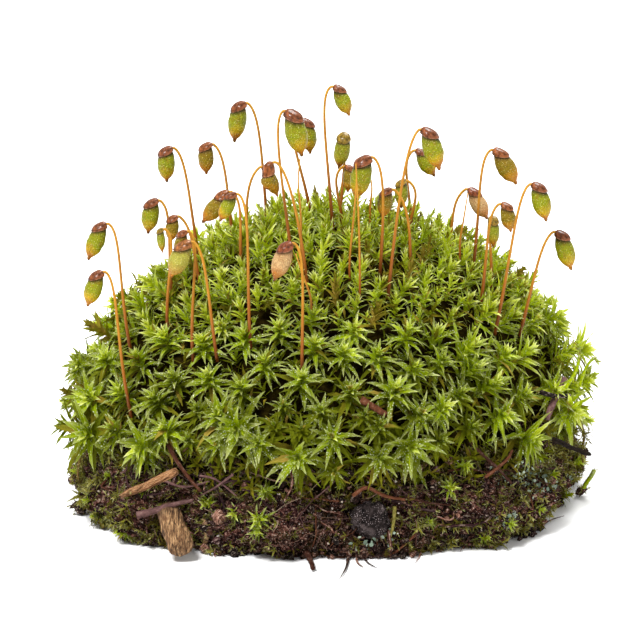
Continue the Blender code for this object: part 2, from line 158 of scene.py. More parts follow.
class Finish:
    """A node material while it is being made."""

    def __init__(self, name):
        self.material = bpy.data.materials.new(name)
        self.material.use_nodes = True
        self.tree = self.material.node_tree
        self.tree.nodes.clear()

    def make(self, kind, settings, sockets, output=0):
        """A node with its settings, then its sockets' values or links. Returns one of its outputs."""
        node = self.tree.nodes.new(kind)
        for name, value in settings.items():
            if name == "stops":
                set_stops(node.color_ramp, value)
            else:
                setattr(node, name, value)
        for name, value in sockets.items():
            if isinstance(value, Wire):
                self.tree.links.new(value.socket, node.inputs[name])
            else:
                node.inputs[name].default_value = value
        return Wire(self, node.outputs[output])

    def mix(self, share, low, high):
        """A colour between two colours."""
        sockets = {0: share, 6: rgba(low), 7: rgba(high)}
        return self.make("ShaderNodeMix", {"data_type": "RGBA"}, sockets, 2)

    def ramp(self, value, stops, interpolation="LINEAR"):
        settings = {"stops": (stops, interpolation)}
        return self.make("ShaderNodeValToRGB", settings, {"Fac": value})

    def stretched(self, place, scale):
        settings = {"operation": "MULTIPLY"}
        return self.make("ShaderNodeVectorMath", settings, {0: place, 1: scale})

    def place(self):
        """Where a point of the surface is, in millimetres."""
        spot = self.make("ShaderNodeTexCoord", {}, {}, "Object")
        return self.stretched(spot, (1 / MM,) * 3)

    def on_map(self):
        """Where a point of the surface is on its piece's own map: x, then y."""
        spot = self.make("ShaderNodeUVMap", {"uv_map": BAKE_MAP}, {})
        return self.split(spot)[:2]

    def print_on_map(self, prints):
        """Place along a print on the map, the print's number, and place across it."""
        along, row = self.on_map()
        row = row * prints
        number = row.math("FLOOR")
        return along, number, row - number

    def noise(self, place, scale, detail=2.0, roughness=0.5):
        sockets = {"Vector": place, "Scale": scale, "Detail": detail, "Roughness": roughness}
        return self.make("ShaderNodeTexNoise", {}, sockets)

    def cells(self, place, scale):
        """Distance to the nearest of many scattered points."""
        return self.make("ShaderNodeTexVoronoi", {}, {"Vector": place, "Scale": scale})

    def split(self, vector):
        node = self.make("ShaderNodeSeparateXYZ", {}, {"Vector": vector}).socket.node
        return [Wire(self, output) for output in node.outputs]

    def join(self, x, y, z):
        return self.make("ShaderNodeCombineXYZ", {}, {"X": x, "Y": y, "Z": z})

    def bump(self, height, strength, distance):
        """A normal for relief of this height. The distance is in millimetres."""
        sockets = {"Strength": strength, "Distance": distance * MM, "Height": height}
        return self.make("ShaderNodeBump", {}, sockets)

    def surface(self, sockets):
        return self.make("ShaderNodeBsdfPrincipled", {}, sockets)

    def done(self, shader):
        node = self.tree.nodes.new("ShaderNodeOutputMaterial")
        self.tree.links.new(shader.socket, node.inputs["Surface"])
        return self.material

    def plain(self, colour, roughness, gloss, normal):
        """The finished material of a surface that is not coated."""
        sockets = {"Base Color": colour, "Roughness": roughness, "Normal": normal}
        return self.done(self.surface({**sockets, "Specular IOR Level": gloss}))


def rgba(colour):
    return (*colour, 1.0) if isinstance(colour, tuple) and len(colour) == 3 else colour


def set_stops(ramp, stops_and_interpolation):
    stops, interpolation = stops_and_interpolation
    ramp.interpolation = interpolation
    while len(ramp.elements) < len(stops):
        ramp.elements.new(1.0)
    for element, (position, colour) in zip(ramp.elements, stops):
        element.position = position
        element.color = rgba(colour)


# Shapes


class Shape:
    """Points, faces and a map of one mesh while it is being made.

    The map has a place for each corner of each face.
    """

    def __init__(self):
        self.points = []
        self.faces = []
        self.map = []

    def add(self, points, faces, places):
        first = len(self.points)
        self.points.extend(points)
        self.faces.extend([first + i for i in face] for face in faces)
        self.map.extend(places)


def clipped(value):
    """The value, kept between 0 and 1."""
    return min(max(value, 0.0), 1.0)


def one_of(dice, prints):
    return prints[dice.randrange(len(prints))]


def scatter(dice, strength):
    return Vector([dice.gauss(0, strength) for _ in range(3)])


def strip_of(number, prints, margin):
    """The strip of a map that holds one print."""
    return (number + margin) / prints, (number + 1 - margin) / prints


def add_object(name, data):
    obj = bpy.data.objects.new(name, data)
    bpy.context.scene.collection.objects.link(obj)
    return obj


def make_piece(name, shape, finish, replaced=(), smooth=True):
    """A mesh object that rides on the clump."""
    mesh = bpy.data.meshes.new(name)
    points = np.asarray(shape.points, float).reshape(-1, 3) * MM
    faces = shape.faces.tolist() if isinstance(shape.faces, np.ndarray) else shape.faces
    mesh.from_pydata(points.tolist(), [], faces)
    if len(shape.map):
        layer = mesh.uv_layers.new(name=BAKE_MAP)
        layer.uv.foreach_set("vector", np.asarray(shape.map, np.float32).ravel())
    mesh.materials.append(finish)
    if smooth:
        mesh.shade_smooth()
    obj = add_object(name, mesh)
    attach(obj, BODY)
    if replaced:
        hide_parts(*replaced)
    return obj


def smooth_line(points, count):
    """Evenly numbered points on a smooth curve through the given ones."""
    points = [Vector(p) for p in points]
    line = [2 * points[0] - points[1], *points, 2 * points[-1] - points[-2]]
    spans = len(points) - 1
    out = []
    for i in range(count):
        along = spans * i / (count - 1)
        span = min(int(along), spans - 1)
        t = along - span
        a, b, c, d = line[span : span + 4]
        bend = 2 * b + (c - a) * t + (2 * a - 5 * b + 4 * c - d) * t**2 + (3 * b - a - 3 * c + d) * t**3
        out.append(bend / 2)
    return out


def arch(start, lift, reach, end, count):
    """Points on the cubic curve with these four control points."""
    out = []
    for i in range(count):
        t = i / (count - 1)
        out.append(
            (1 - t) ** 3 * start + 3 * t * (1 - t) ** 2 * lift + 3 * t**2 * (1 - t) * reach + t**3 * end
        )
    return out


def spread(values, count):
    """The same run of values, read off at another number of places."""
    places = np.linspace(0, len(values) - 1, count)
    return [float(v) for v in np.interp(places, range(len(values)), values)]


def relief_at(p, relief):
    """How far a rough surface stands out at a point. The relief is rows of a height and a coarseness."""
    return sum(height * noise.noise(p / coarse) for height, coarse in relief)


def resample(line, shares):
    """Points on a line at these shares of its length."""
    walked = [0.0]
    for a, b in zip(line, line[1:]):
        walked.append(walked[-1] + (b - a).length)
    axes = [[p[axis] for p in line] for axis in range(3)]
    places = [share * walked[-1] for share in shares]
    return [Vector([float(np.interp(place, walked, axis)) for axis in axes]) for place in places]


def ring_quads(rings, sides):
    """Faces between rings of points that follow each other. They face outwards where the rings climb."""
    faces = []
    for first in range(0, (rings - 1) * sides, sides):
        for k in range(sides):
            a, b = first + k, first + (k + 1) % sides
            faces.append((a, b, b + sides, a + sides))
    return faces


def ball(detail):
    """Points and triangles of a ball with a radius of 1."""
    builder = bmesh.new()
    bmesh.ops.create_icosphere(builder, subdivisions=detail, radius=1.0)
    points = [v.co.copy() for v in builder.verts]
    faces = [tuple(v.index for v in face.verts) for face in builder.faces]
    builder.free()
    return points, faces


def tube(line, radii, sides, rough=None, alongs=None, strip=(0.0, 1.0)):
    """Points, faces and map places of a closed bar along a line. Rough moves a point out or in, as a share.

    On the map, x runs along the bar, by the given alongs, and y round it inside its strip.
    """
    points, places = [], []
    rings = len(line)
    faces = ring_quads(rings, sides)
    if alongs is None:
        alongs = [i / (rings - 1) for i in range(rings)]
    low, wide = strip[0], strip[1] - strip[0]
    side = Vector((0.0, 1.0, 0.0))
    for i, here in enumerate(line):
        before, after = line[max(i - 1, 0)], line[min(i + 1, rings - 1)]
        ahead = (after - before).normalized()
        side = (side - ahead * side.dot(ahead)).normalized()
        across = ahead.cross(side)
        for k in range(sides):
            turn = 2 * math.pi * k / sides
            out = math.cos(turn) * side + math.sin(turn) * across
            reach = radii[i] * (1 + (rough(alongs[i], turn) if rough else 0.0))
            points.append(here + reach * out)
            points[-1].z = max(points[-1].z, FLOOR_CLEARANCE)
    for near, far in zip(alongs, alongs[1:]):
        for k in range(sides):
            here, there = low + wide * k / sides, low + wide * (k + 1) / sides
            places += [(near, here), (near, there), (far, there), (far, here)]
    for ring, order in ((0, range(sides - 1, -1, -1)), (rings - 1, range(sides))):
        faces.append(tuple(ring * sides + k for k in order))
        places += [(alongs[ring], low + wide * k / sides) for k in order]
    return points, faces, places


# The dome's own form

# A distance that is outside the dome from any place in it, and how often that is halved to find its surface
BEYOND_DOME = 120.0
HALVINGS = 30


def fullness(x, y):
    """The dome stands fuller on its right than on its left."""
    return DOME_FULLNESS + DOME_FULLER_RIGHT * x / max(math.hypot(x, y), 1e-9)


def dome_height(x, y, depth=0.0):
    """Height of the dome over a place in plan, or of a smaller dome that lies this deep inside it."""
    n = fullness(x, y)
    plan = math.hypot(x / (DOME_HALF_WIDTH - depth), y / (DOME_HALF_DEPTH - depth))
    return DOME_WAIST + (DOME_TOP - DOME_WAIST - depth) * max(1 - plan**n, 0.0) ** (1 / n)


def inside_dome(p, depth=0.0):
    """Whether a point is inside the dome, or inside a smaller one that lies this deep in it."""
    n = fullness(p.x, p.y)
    plan = math.hypot(p.x / (DOME_HALF_WIDTH - depth), p.y / (DOME_HALF_DEPTH - depth))
    up = abs(p.z - DOME_WAIST) / (DOME_TOP - DOME_WAIST - depth)
    return plan**n + up**n < 1


def along_to_dome(start, direction):
    """Where a straight line from inside leaves the dome, found by halving."""
    near, far = 0.0, BEYOND_DOME
    for _ in range(HALVINGS):
        middle = (near + far) / 2
        if inside_dome(start + direction * middle):
            near = middle
        else:
            far = middle
    return start + direction * near


def on_front(x, rise):
    """The place on the front of the dome that is seen at this x and rise."""
    for step in range(-VIEW_REACH, VIEW_REACH + 1):
        p = Vector((x, 0.0, 0.0)) + VIEW_UP * rise + VIEW_AWAY * step
        if inside_dome(p):
            return along_to_dome(p, -VIEW_AWAY)
    return along_to_dome(HEART, (Vector((x, 0.0, rise / math.cos(VIEW_TILT))) - HEART).normalized())


def dome_facing(p):
    """The way the dome's surface faces near a point on it."""
    n = fullness(p.x, p.y)
    a, b, c = DOME_HALF_WIDTH, DOME_HALF_DEPTH, DOME_TOP - DOME_WAIST
    plan = math.hypot(p.x / a, p.y / b)
    z = (p.z - DOME_WAIST) / c
    side = plan ** max(n - 2, 0.0)
    steep = Vector((side * p.x / a**2, side * p.y / b**2, math.copysign(abs(z) ** (n - 1), z) / c))
    return steep.normalized()


# Moss leaves


class Leaf(NamedTuple):
    """One leaf: where it leaves its stem, the stem's direction, the way out, its sizes and its bends."""

    base: Vector
    axis: Vector
    out: Vector
    length: float
    width: float
    lean: float
    curl: float
    bend: float
    twist: float
    droop: float
    print: int


LEAF_PRINTS = 48
BROWN_PRINTS = 8
DEAD_PRINTS = range(0, 5)
FADED_PRINTS = range(4, 8)
RED_PRINTS = 4
LEAF_MARGIN = 0.08
LEAF_FOLD = 0.42
LEAF_WIDTHS = ((0.0, 0.55), (0.1, 0.85), (0.27, 1.0), (0.5, 0.82), (0.72, 0.5), (0.9, 0.2), (1.0, 0.02))
TOOTH = 0.13


def leaf_sheet(leaves, rings):
    """All leaves of a piece at once: each is a strip of quads with a midrib, toothed edges and a sharp tip.

    On the map, x runs along a leaf, and y picks the leaf's print and then runs across it.
    """
    field = {name: np.array([getattr(leaf, name) for leaf in leaves], float) for name in Leaf._fields}
    t = np.linspace(0.0, 1.0, rings)
    axis, out = field["axis"][:, None], field["out"][:, None]
    beside = np.cross(field["axis"], field["out"])[:, None]
    bend = (field["bend"][:, None] * t)[..., None]
    heading = out * np.cos(bend) + beside * np.sin(bend)
    lean = (field["lean"][:, None] + field["curl"][:, None] * t**1.4)[..., None]
    ahead = axis * np.cos(lean) + heading * np.sin(lean)
    ahead = ahead + (field["droop"][:, None] * t)[..., None] * np.array(DOWN)
    ahead /= np.linalg.norm(ahead, axis=2, keepdims=True)
    step = (field["length"] / (rings - 1))[:, None, None]
    middle = field["base"][:, None] + step * (np.cumsum(ahead, axis=1) - ahead)
    side = np.cross(axis, heading)
    side = side - ahead * np.sum(side * ahead, axis=2, keepdims=True)
    side /= np.linalg.norm(side, axis=2, keepdims=True)
    above = np.cross(ahead, side)
    twist = (field["twist"][:, None] * t)[..., None]
    side, above = side * np.cos(twist) + above * np.sin(twist), above * np.cos(twist) - side * np.sin(twist)
    shares = np.interp(t, *zip(*LEAF_WIDTHS))
    teeth = np.where(np.arange(rings) % 2 == 1, 1 + TOOTH, 1 - TOOTH)
    shares = shares * np.where((t > 0.2) & (t < 0.97), teeth, 1.0)
    half = (field["width"][:, None] * shares / 2)[..., None]
    points = np.stack([middle - half * side, middle, middle + half * side], axis=2)
    points[:, :, 0] += half * LEAF_FOLD * above
    points[:, :, 2] += half * LEAF_FOLD * above
    points[..., 2] = np.maximum(points[..., 2], FLOOR_CLEARANCE)
    shape = Shape()
    shape.points = points.reshape(-1, 3)
    ring, column = np.meshgrid(np.arange(rings - 1), np.arange(2), indexing="ij")
    corner = (ring * 3 + column).ravel()
    quads = np.stack([corner, corner + 1, corner + 4, corner + 3], axis=1)
    first = np.arange(len(leaves)) * rings * 3
    shape.faces = (first[:, None, None] + quads[None]).reshape(-1, 4)
    across = LEAF_MARGIN + (1 - 2 * LEAF_MARGIN) * np.array([0.0, 0.5, 1.0])
    u = np.broadcast_to(t[None, :, None], (len(leaves), rings, 3))
    v = (field["print"][:, None, None] + across) / LEAF_PRINTS
    v = np.broadcast_to(v, (len(leaves), rings, 3))
    places = np.stack([u, v], axis=3).reshape(-1, 2)
    shape.map = places[shape.faces.ravel()]
    return shape


def make_leaves(name, leaves, rings, finish, node):
    """A piece of leaves, with sharp edges along their middles. The points of a leaf come in threes."""
    mesh = make_piece(name, leaf_sheet(leaves, rings), finish, [node]).data
    ends = np.empty(len(mesh.edges) * 2, np.int32)
    mesh.edges.foreach_get("vertices", ends)
    ends = ends.reshape(-1, 2)
    sharp = (ends % 3 == 1).all(axis=1)
    mesh.attributes.new("sharp_edge", "BOOLEAN", "EDGE").data.foreach_set("value", sharp)


# Colours of the leaf prints: old brown leaves, greens from dark to bright, then the red of a star's middle
MOSS_TONES = (
    (0.0, (0.026, 0.010, 0.004)),
    (0.06, (0.085, 0.036, 0.009)),
    (0.11, (0.21, 0.095, 0.022)),
    (0.149, (0.38, 0.21, 0.06)),
    (0.17, (0.007, 0.010, 0.0006)),
    (0.35, (0.028, 0.050, 0.001)),
    (0.6, (0.12, 0.20, 0.002)),
    (0.78, (0.34, 0.48, 0.004)),
    (0.915, (0.76, 0.84, 0.06)),
    (0.936, (0.42, 0.12, 0.01)),
    (1.0, (0.28, 0.05, 0.01)),
)
SOIL_MOSS_TONES = (
    (0.0, (0.010, 0.004, 0.002)),
    (0.06, (0.035, 0.014, 0.007)),
    (0.11, (0.11, 0.050, 0.022)),
    (0.149, (0.30, 0.17, 0.075)),
    (0.17, (0.008, 0.007, 0.001)),
    (0.35, (0.030, 0.028, 0.002)),
    (0.6, (0.11, 0.105, 0.010)),
    (0.78, (0.28, 0.26, 0.03)),
    (0.915, (0.66, 0.60, 0.22)),
    (0.936, (0.36, 0.13, 0.02)),
    (1.0, (0.22, 0.07, 0.02)),
)


def leaf_finish(name, tones, heart_colour, glow_colour):
    finish = Finish(name)
    along, number, across = finish.print_on_map(LEAF_PRINTS)
    edge = ((across - 0.5) * 2).math("ABSOLUTE")
    tone = number / (LEAF_PRINTS - 1)
    own = finish.make("ShaderNodeTexWhiteNoise", {"noise_dimensions": "1D"}, {"W": number})
    green = finish.ramp(tone, tones)
    grain = finish.join(along * 5.0, across * 9.0 + number * 3.3, number * 1.7)
    streaks = finish.noise(grain, 1.0, 3.0)
    cells = finish.cells(finish.join(along * 46.0, across * 11.0, number * 2.1), 1.0)
    heart = along.between(0.5, 0.0) * 0.7
    colour = finish.mix(heart * tone.between(0.25, 0.5), green, heart_colour)
    outer = along.between(0.25, 0.8) * (0.55 - tone.between(0.6, 0.9) * 0.5)
    colour = finish.mix(outer, colour, (0.036, 0.041, 0.004))
    colour = finish.mix(streaks.between(0.4, 0.68) * 0.6, colour, (0.014, 0.019, 0.001))
    colour = finish.mix(cells.between(0.1, 0.6) * 0.2, colour, glow_colour)
    vein = edge.between(0.24, 0.05) * along.between(1.0, 0.4)
    colour = finish.mix(vein * 0.45 * tone.between(0.2, 0.5), colour, glow_colour)
    # Pale tips and rims: partly the leaf's own pale tips and margins, partly painted highlights on the tips
    # and on the teeth of the rims, paler still on bright leaves.
    tip = along.between(0.5, 1.0) * (0.16 + own * 0.6 + tone.between(0.7, 0.9) * 0.2)
    teeth = (along * 15.0 + number * 0.37).math("FRACT")
    rim_with_painted_glints = edge.between(0.6, 1.0) * along.between(0.1, 0.4) * (0.25 + teeth * 0.75)
    bright = tone.between(0.6, 0.9)
    pale = (tip + rim_with_painted_glints * (0.7 + bright * 0.2)).clamped() * tone.between(0.18, 0.42)
    colour = finish.mix(pale, colour, finish.mix(bright, (0.47, 0.49, 0.20), (0.88, 0.90, 0.45)))
    # Painted highlights: small near-white glint spots in the leaf's colour, most of them toward the edges;
    # the same spots also get a glossy coat and a little relief.
    glint_cells = finish.cells(finish.join(along * 12.0, across * 3.4, number * 5.9), 1.0)
    painted_glints_and_gloss = glint_cells.between(0.34, 0.2) * tone.between(0.16, 0.36) * (0.3 + 0.7 * edge.between(0.3, 0.8))
    colour = finish.mix(painted_glints_and_gloss * 0.8, colour, (0.92, 0.96, 0.66))
    relief = streaks * 0.5 + cells * 0.5 + painted_glints_and_gloss
    leaf = finish.surface(
        {
            "Base Color": colour,
            "Roughness": 0.5,
            "Specular IOR Level": 0.03,
            "Coat Weight": painted_glints_and_gloss,
            "Coat Roughness": 0.2,
            "Normal": finish.bump(relief, 0.6, 0.08),
        }
    )
    glow = finish.make("ShaderNodeBsdfTranslucent", {}, {"Color": (*glow_colour, 1.0)})
    sheer = 0.08 + tone.between(0.4, 0.9) * 0.3
    return finish.done(finish.make("ShaderNodeMixShader", {}, {0: sheer, 1: leaf, 2: glow}))


class Star(NamedTuple):
    """A shoot of the front: x and rise of its middle, its leaves' reach, kind, tone and red middle.

    An open star is seen from above its tip, a hanging one droops, and a tuft stands up with close leaves.
    """

    x: float
    rise: float
    reach: float
    kind: str = "open"
    tone: float = 0.62
    red: bool = False


FRONT_STARS = (
    Star(-13.0, 9.6, 4.9, "open", 0.82),
    Star(-10.9, 8.0, 5.3, "hang", 0.74),
    Star(-8.2, 6.3, 4.0, "open", 0.74),
    Star(-5.1, 11.0, 2.4, "open", 0.45, True),
    Star(-2.8, 14.3, 3.9, "open", 0.74),
    Star(-3.3, 4.3, 4.6, "hang", 0.74),
    Star(-13.3, 6.0, 3.0, "open", 0.62, True),
    Star(-17.0, 6.7, 2.4, "open", 0.6),
    Star(-19.8, 8.0, 3.7, "open", 0.7),
    Star(-14.4, 14.5, 3.6, "open", 0.6),
    Star(-18.8, 14.5, 3.4, "open", 0.62),
    Star(1.0, 6.9, 4.1, "open", 0.72, True),
    Star(3.2, 12.7, 3.5, "open", 0.66, True),
    Star(8.7, 12.8, 4.4, "open", 0.6),
    Star(6.9, 4.3, 3.9, "open", 0.78),
    Star(10.8, 5.6, 4.8, "hang", 0.74),
    Star(12.0, 9.9, 3.6, "open", 0.66, True),
    Star(1.2, 2.4, 2.7, "hang", 0.6, True),
    Star(-2.8, 8.0, 2.8, "open", 0.3),
    Star(7.0, 8.4, 3.2, "open", 0.35),
    Star(14.9, 10.6, 3.6, "open", 0.68),
    Star(16.9, 12.4, 3.2, "open", 0.4),
    Star(21.1, 13.7, 4.4, "tuft", 0.78),
    Star(-29.4, 11.8, 4.4, "open", 0.74),
    Star(-29.6, 7.2, 5.4, "open", 0.8),
    Star(-26.4, 8.0, 3.4, "open", 0.76),
    Star(-31.0, 16.0, 3.2, "open", 0.66),
    Star(-23.0, 5.6, 4.4, "hang", 0.76),
    Star(-25.4, 12.6, 3.6, "open", 0.66),
    Star(-21.1, 11.8, 4.0, "open", 0.6),
    Star(-27.4, 16.8, 3.8, "open", 0.66),
    Star(-23.4, 17.0, 3.4, "open", 0.66),
    Star(-20.0, 19.6, 3.6, "open", 0.7),
    Star(-15.2, 19.0, 3.7, "open", 0.72),
    Star(-10.4, 13.4, 3.3, "open", 0.56),
    Star(-7.4, 16.4, 3.4, "open", 0.62),
    Star(-9.9, 19.6, 3.6, "open", 0.7),
    Star(-5.6, 20.6, 3.5, "open", 0.7),
    Star(-1.2, 18.6, 3.4, "open", 0.64),
    Star(2.4, 17.6, 3.6, "open", 0.68),
    Star(6.6, 17.2, 3.4, "open", 0.56),
    Star(11.2, 15.6, 3.4, "open", 0.6),
    Star(10.4, 20.2, 3.4, "open", 0.66),
    Star(14.6, 16.6, 3.2, "open", 0.5),
    Star(18.4, 18.2, 4.6, "tuft", 0.82),
    Star(18.8, 15.6, 4.2, "tuft", 0.78),
    Star(22.6, 17.2, 3.6, "open", 0.66),
    Star(25.6, 17.6, 3.8, "tuft", 0.78),
    Star(26.6, 21.6, 2.7, "open", 0.6, True),
    Star(26.1, 6.4, 4.5, "hang", 0.84),
    Star(22.3, 9.6, 3.9, "open", 0.76, True),
    Star(18.4, 8.2, 3.2, "open", 0.5),
    Star(25.0, 12.0, 3.4, "open", 0.6),
    Star(29.0, 12.6, 3.4, "open", 0.6),
    Star(31.2, 9.8, 4.2, "hang", 0.82),
    Star(-6.2, 8.4, 2.6, "open", 0.3),
    Star(14.6, 6.4, 3.0, "open", 0.4),
    Star(-15.8, 10.6, 2.6, "open", 0.42),
    Star(5.0, 9.8, 2.6, "open", 0.3),
    Star(-0.4, 10.4, 3.0, "open", 0.44),
)


class ShootKind(NamedTuple):
    """How a shoot holds its leaves: lean and curl from bud to foot, its stem's length and its droop."""

    leans: tuple
    curls: tuple
    stem: float
    droop: float
    leaves: int


SHOOT_KINDS = {
    "open": ShootKind((12, 28, 46, 66, 84), (6, 20, 32, 36, 32), 2.4, 0.5, 34),
    "hang": ShootKind((12, 28, 48, 66, 84), (8, 22, 32, 34, 30), 2.8, 1.0, 34),
    "tuft": ShootKind((8, 22, 38, 54, 68), (4, 14, 22, 26, 26), 3.8, 0.1, 32),
    "spire": ShootKind((6, 14, 28, 42, 56), (2, 10, 18, 22, 24), 3.8, 0.05, 26),
    "scrub": ShootKind((12, 30, 50, 70, 90), (10, 20, 24, 24, 20), 1.8, 0.15, 12),
}
SHOOT_SKEW = Vector((0.31, 0.22, 0.93))
LEAF_LENGTHS = (0.3, 0.56, 0.86, 1.06, 0.9)
LEAF_SLIMNESS = 0.2
SLIMMER_ON_CROWN = 0.03
NARROWEST_LEAF = 0.12
REACH_SCALE = 0.98
# Shares of a shoot, from its bud down: where its red leaves and its light ones end, where it has its own
# tone, and where its lowest leaves start
RED_HEART_END = 0.12
LIGHT_HEART_END = 0.3
OWN_TONE_AT = 0.38
LOWEST_LEAVES_START = 0.8
LIGHTER_HEART = 0.62
OLD_LEAVES = 0.03
OLD_LEAVES_BELOW = 0.22
OLD_LEAVES_ABOVE = 0.07


def scattered_places(candidates, spacing, taken, lowest):
    """Places all over the dome that keep their distance from each other and from those taken."""
    places = [tuple(p) for p in taken]
    spots = []
    for i in range(candidates):
        up = 1 - (1 - LOWEST_HEADING) * i / candidates
        level = math.sqrt(max(1 - up * up, 0.0))
        turn = GOLDEN_TURN * i
        p = along_to_dome(HEART, Vector((level * math.cos(turn), level * math.sin(turn), up)))
        if p.z < lowest:
            continue
        apart = np.linalg.norm(np.array(places or [(0.0, 0.0, -99.0)]) - np.array(p), axis=1)
        if apart.min() > spacing(p):
            places.append(tuple(p))
            spots.append(p)
    return spots


def reading_at(f):
    """Reads a run of values at a share of its length."""
    return lambda values: float(np.interp(f, np.linspace(0, 1, len(values)), values))


def print_of(tone):
    """The leaf print for a tone between 0 and 1."""
    greens = LEAF_PRINTS - RED_PRINTS - BROWN_PRINTS
    return BROWN_PRINTS + min(max(int(tone * greens), 0), greens - 1)


def add_shoot(leaves, dice, tip, axis, reach, kind, tone, red=False, brown=False):
    """Leaves of one shoot, in a spiral from its bud down its stem."""
    form = SHOOT_KINDS[kind]
    side = axis.cross(SHOOT_SKEW).normalized()
    across = axis.cross(side)
    spin = dice.uniform(0, 2 * math.pi)
    top = crown_share(tip)
    width = (LEAF_SLIMNESS - SLIMMER_ON_CROWN * top) * reach
    for k in range(form.leaves):
        f = k / (form.leaves - 1)
        reading = reading_at(f)
        turn = spin + GOLDEN_TURN * k + dice.gauss(0, 0.14)
        old_share = OLD_LEAVES_BELOW if f > LOWEST_LEAVES_START else OLD_LEAVES + OLD_LEAVES_ABOVE * top
        if red and f < RED_HEART_END:
            number = LEAF_PRINTS - 1 - dice.randrange(RED_PRINTS)
        elif brown:
            number = one_of(dice, DEAD_PRINTS if kind == "scrub" else FADED_PRINTS)
        elif dice.random() < old_share:
            number = dice.randrange(BROWN_PRINTS)
        else:
            # Leaves lower down the shoot get darker prints and those near the bud lighter ones: partly the
            # leaves' age, partly painted shade low in the shoot and painted light at its bud.
            heart = max(LIGHT_HEART_END - f, 0.0)
            number = print_of(tone + LIGHTER_HEART * (OWN_TONE_AT - f) + heart + dice.gauss(0, 0.16))
        leaves.append(
            Leaf(
                tip - axis * (form.stem * f**1.2),
                axis,
                math.cos(turn) * side + math.sin(turn) * across,
                reach * reading(LEAF_LENGTHS) * dice.gauss(1, 0.12),
                max(width * dice.gauss(1, 0.1) * (0.7 + 0.3 * min(f * 3, 1)), NARROWEST_LEAF),
                math.radians(reading(form.leans) + dice.gauss(0, 7)),
                math.radians(reading(form.curls) + dice.gauss(0, 10)),
                dice.gauss(0, 0.2),
                dice.gauss(0, 0.4),
                form.droop * max(dice.gauss(1, 0.4), 0.0) * (0.3 + 0.7 * f),
                number,
            )
        )


REGIONS = ("front", "right", "back", "left")
CROWN_BOTTOM = 31.0


def region_of(p):
    """The crown of the dome, or one of its four sides."""
    if p.z > CROWN_BOTTOM:
        return "crown"
    turn = math.degrees(math.atan2(p.y, p.x)) + 90
    return REGIONS[int(((turn + 45) % 360) // 90)]


# The two curled shoots stand free here, so no star of leaves hides them
BESIDE_SPRIGS = (Vector((31.4, -13.6, 21.0)), Vector((33.0, -9.7, 18.6)))
LOWEST_HEADING = -0.2
LOWEST_SHOOT = 9.0
FRONT_BARE = 5.0
SPRIG_CLEARING = 6.0
SPLAY = 0.017
FRONT_TIP_DEPTH = 1.2
# Front stars look up more and are brighter the higher they stand, the brightening partly painted light on
# the higher moss
STAR_LIFT = 0.3
LIFT_BY_RISE = 0.055
LIFT_START = 7
LIFT_SPAN = 10.0
STAR_DARKER = 0.27
BRIGHTER_BY_RISE = 0.025
EVEN_RISE = 8
# Past this x, front stars turn to the viewer: over this width, and by this much
EDGE_START = 26
EDGE_WIDTH = 4
EDGE_TURN = 1.1
RIGHT_EDGE_BRIGHTER = 0.02
HANGING_BELOW = 12.5
SHOOT_CANDIDATES = 5200
SHOOT_SPACING = 4.0
LOOSER_LOW_DOWN = 1.6
CLOSER_ON_CROWN = 1.6
SHOOT_REACHES = (2.3, 4.5)
SMALLER_ON_CROWN = 0.36
SCRUB_CANDIDATES = 7000
SCRUB_REACHES = (1.3, 2.5)
SCRUB_DEPTHS = (2.4, 4.0)
CROWN_START = 22.0
CROWN_RISE = 9.0
SCRUB_SPACING = 2.25
LEAF_RINGS = {"crown": 5, "front": 11, "right": 8, "back": 6, "left": 8}
SCRUB_RINGS = 4


def crown_share(p):
    """0 on the sides of the dome and 1 on its crown."""
    return clipped((p.z - CROWN_START) / CROWN_RISE)


def add_front_stars(leaves, dice):
    taken = []
    for star in FRONT_STARS:
        spot = on_front(star.x, star.rise)
        facing = dome_facing(spot)
        taken.append(spot)
        lift = STAR_LIFT + LIFT_BY_RISE * min(max(star.rise - LIFT_START, 0.0), LIFT_SPAN)
        axis = (facing + lift * UP + SPLAY * max(star.x, 0.0) * ACROSS).normalized()
        if star.kind == "hang":
            axis = (facing + 0.1 * DOWN).normalized()
        axis = (axis - EDGE_TURN * clipped((abs(star.x) - EDGE_START) / EDGE_WIDTH) * AHEAD).normalized()
        if star.kind == "tuft":
            axis = (facing + 0.5 * UP + Vector((math.copysign(0.5, star.x), 0, 0))).normalized()
        tip = spot - facing * FRONT_TIP_DEPTH
        tone = star.tone - STAR_DARKER + BRIGHTER_BY_RISE * (star.rise - EVEN_RISE) + dice.gauss(0, 0.08)
        tone += RIGHT_EDGE_BRIGHTER * max(star.x - 20, 0.0)
        reach = REACH_SCALE * star.reach
        add_shoot(leaves[region_of(spot)], dice, tip, axis, reach, star.kind, tone, star.red)
    return taken


def spacing_at(p):
    """How far apart shoots stand: loose low down in front, close on the crown."""
    low_front = clipped((20.0 - p.z) / 8.0) * clipped(-p.y / 15.0)
    return SHOOT_SPACING + LOOSER_LOW_DOWN * low_front - CLOSER_ON_CROWN * crown_share(p)


